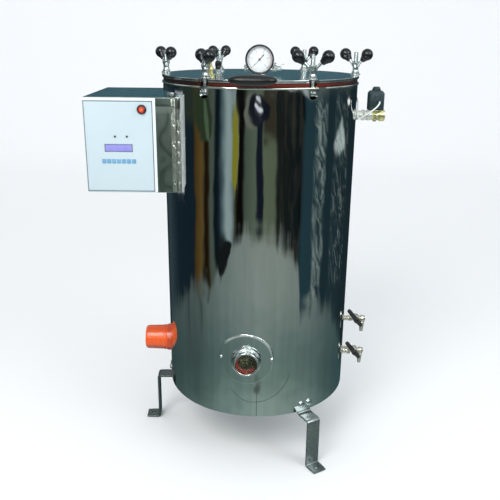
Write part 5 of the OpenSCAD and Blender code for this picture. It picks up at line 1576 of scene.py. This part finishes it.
    # the floor, with its own shade across and a far edge that differs across
    floor = g.ramp(t0, [
        (0.00, (0.050, 0.085, 0.095)), (0.10, (0.070, 0.100, 0.100)), (0.20, (0.095, 0.128, 0.122)), (0.26, (0.100, 0.130, 0.122)),
        (0.33, (0.150, 0.190, 0.178)), (0.42, (0.24, 0.285, 0.268)), (0.50, (0.290, 0.330, 0.305)), (0.58, (0.265, 0.305, 0.280)),
        (0.68, (0.205, 0.245, 0.228)), (0.78, (0.110, 0.150, 0.145)), (0.86, (0.075, 0.115, 0.120)), (0.94, (0.050, 0.092, 0.106)),
        (1.00, (0.050, 0.085, 0.095))])
    # greener and darker half way down, light again at the foot
    mid = g.ramp(g.math("MULTIPLY", el, -1.0), [(0.19, (1.0, 1.0, 1.0)), (0.250, (0.96, 0.99, 0.99)), (0.285, (0.74, 0.85, 0.85)),
                                                (0.310, (0.60, 0.75, 0.75)), (0.332, (0.70, 0.86, 0.84)), (0.354, (1.05, 1.20, 1.18)),
                                                (0.42, (1.2, 1.3, 1.3))])
    floor = g.mix(1.0, floor, mid, "MULTIPLY")
    streak = g.noise(g.comb(g.math("MULTIPLY", t0, 60.0), g.math("MULTIPLY", el, 7.0), 2.2), scale=1.0, detail=3, rough=0.55)
    floor = g.mix(1.0, floor, g.ramp(streak, [(0.30, 0.91), (0.70, 1.07)]), "MULTIPLY")
    # standing dark shapes mirrored low on the left
    low = g.math("MULTIPLY", band(0.205, 0.300, 0.012, t0), g.range(el, -0.335, -0.262, 0.0, 1.0, True))
    floor = g.mix(g.math("MULTIPLY", low, g.range(streak, 0.44, 0.60, 0.0, 0.75)), floor, (0.045, 0.056, 0.054))
    edge = g.ramp(t0, [(0.00, 0.30), (0.10, 0.262), (0.24, 0.238), (0.30, 0.230), (0.345, 0.244), (0.365, 0.215), (0.395, 0.200),
                       (0.42, 0.190), (0.52, 0.188), (0.56, 0.186), (0.60, 0.196), (0.638, 0.212), (0.650, 0.262), (0.662, 0.246),
                       (0.74, 0.252), (0.80, 0.258), (0.86, 0.272), (0.92, 0.30), (1.00, 0.30)])
    rag = g.math("MULTIPLY", g.math("SUBTRACT", streak, 0.5), 0.050)
    below = g.math("SUBTRACT", g.math("MULTIPLY", el, -1.0), g.math("ADD", edge, rag))
    k = g.range(below, -0.010, 0.018, 0.0, 1.0, True)
    room = g.mix(k, room, floor)
    # black pointed shape on the floor's far edge, left of the middle
    room = oval((0.010, 0.012, 0.012), room, 0.383, -0.211, 0.019, 0.0235, 0.2, 0.008, -0.35)
    # smudge low in the middle
    room = oval((0.100, 0.128, 0.115), room, 0.5010, -0.3345, 0.0135, 0.0070, 0.85)
    # near floor: pale, it lights the undersides
    room = g.mix(g.range(el, -0.44, -0.56, 0.0, 1.0, True), room, (0.62, 0.66, 0.65))
    # what the lid's rim mirrors: dark wall, a light opening right of the middle
    rim = g.ramp(t0, [(0.00, (0.014, 0.020, 0.018)), (0.22, (0.018, 0.024, 0.021)), (0.40, (0.042, 0.054, 0.048)), (0.52, (0.062, 0.076, 0.070)), (0.552, (0.48, 0.55, 0.54)),
                      (0.640, (0.48, 0.55, 0.54)), (0.665, (0.10, 0.13, 0.13)), (0.80, (0.050, 0.065, 0.064)), (1.00, (0.030, 0.045, 0.045))])
    room = g.mix(band(-0.0478, -0.012, 0.0022, el), room, rim)
    # above the horizon: the lid mirrors a teal wall behind; small parts see bright windows in front
    wall = g.mix(g.range(g.math("ABSOLUTE", az), 0.62, 0.80, 0.0, 1.0, True),
                 g.ramp(g.noise(g.comb(g.math("MULTIPLY", az, 7.0), g.math("MULTIPLY", el, 3.0), 0.9), scale=1.0, detail=2),
                        [(0.36, (0.030, 0.040, 0.040)), (0.50, (0.30, 0.36, 0.37)), (0.60, (0.95, 1.05, 1.05))]),
                 g.ramp(wob, [(0.35, (0.048, 0.108, 0.134)), (0.65, (0.068, 0.146, 0.175))]))
    room = g.mix(g.range(el, -0.030, 0.010, 0.0, 1.0, True), room, wall)
    top = g.range(el, 0.13, 0.26, 0.0, 1.0, True)
    sky = g.ramp(t0, [(0.00, 0.50), (0.24, 0.30), (0.36, 0.40), (0.45, 0.85), (0.52, 1.0), (0.68, 1.0), (0.74, 0.60), (1.00, 0.50)])
    room = g.mix(top, room, g.mix(1.0, (0.98, 1.07, 1.08), sky, "MULTIPLY"))
    # lamps over the camera
    room = oval((15.0, 15.6, 15.6), room, 0.493, 0.235, 0.030, 0.050, 0.2)
    room = oval((4.0, 4.2, 4.2), room, 0.600, 0.330, 0.045, 0.040, 0.2)
    glossy = g.n.new("ShaderNodeBackground")
    g.put(glossy.inputs[0], room)
    glossy.inputs[1].default_value = 1.0
    plain = g.n.new("ShaderNodeBackground")
    plain.inputs[0].default_value = (0.93, 0.96, 1.0, 1.0)
    plain.inputs[1].default_value = 0.9
    lp = g.n.new("ShaderNodeLightPath")
    mixs = g.n.new("ShaderNodeMixShader")
    g.l.new(lp.outputs["Is Glossy Ray"], mixs.inputs[0])
    g.l.new(plain.outputs[0], mixs.inputs[1])
    g.l.new(glossy.outputs[0], mixs.inputs[2])
    g.l.new(mixs.outputs[0], out.inputs["Surface"])


def area(name, loc, target, size, power, color=(1, 1, 1), glossy=True):
    li = bpy.data.lights.new(name, "AREA")
    li.shape = "RECTANGLE"
    li.size, li.size_y = size
    li.energy = power
    li.color = color
    ob = bpy.data.objects.new(name, li)
    SC.collection.objects.link(ob)
    ob.location = loc
    ob.rotation_euler = (Vector(target) - Vector(loc)).to_track_quat("-Z", "Y").to_euler()
    ob.visible_glossy = glossy
    return ob


make_stage()
make_world()
area("key", (-1.2, -2.4, 3.0), (0, 0, 0.4), (1.6, 1.6), 60, (1.0, 0.99, 0.97))
area("fill", (2.2, -1.6, 2.2), (0, 0, 0.5), (1.4, 1.4), 22, (0.92, 0.97, 1.0))
SC.view_settings.view_transform = "Standard"
SC.view_settings.look = "None"
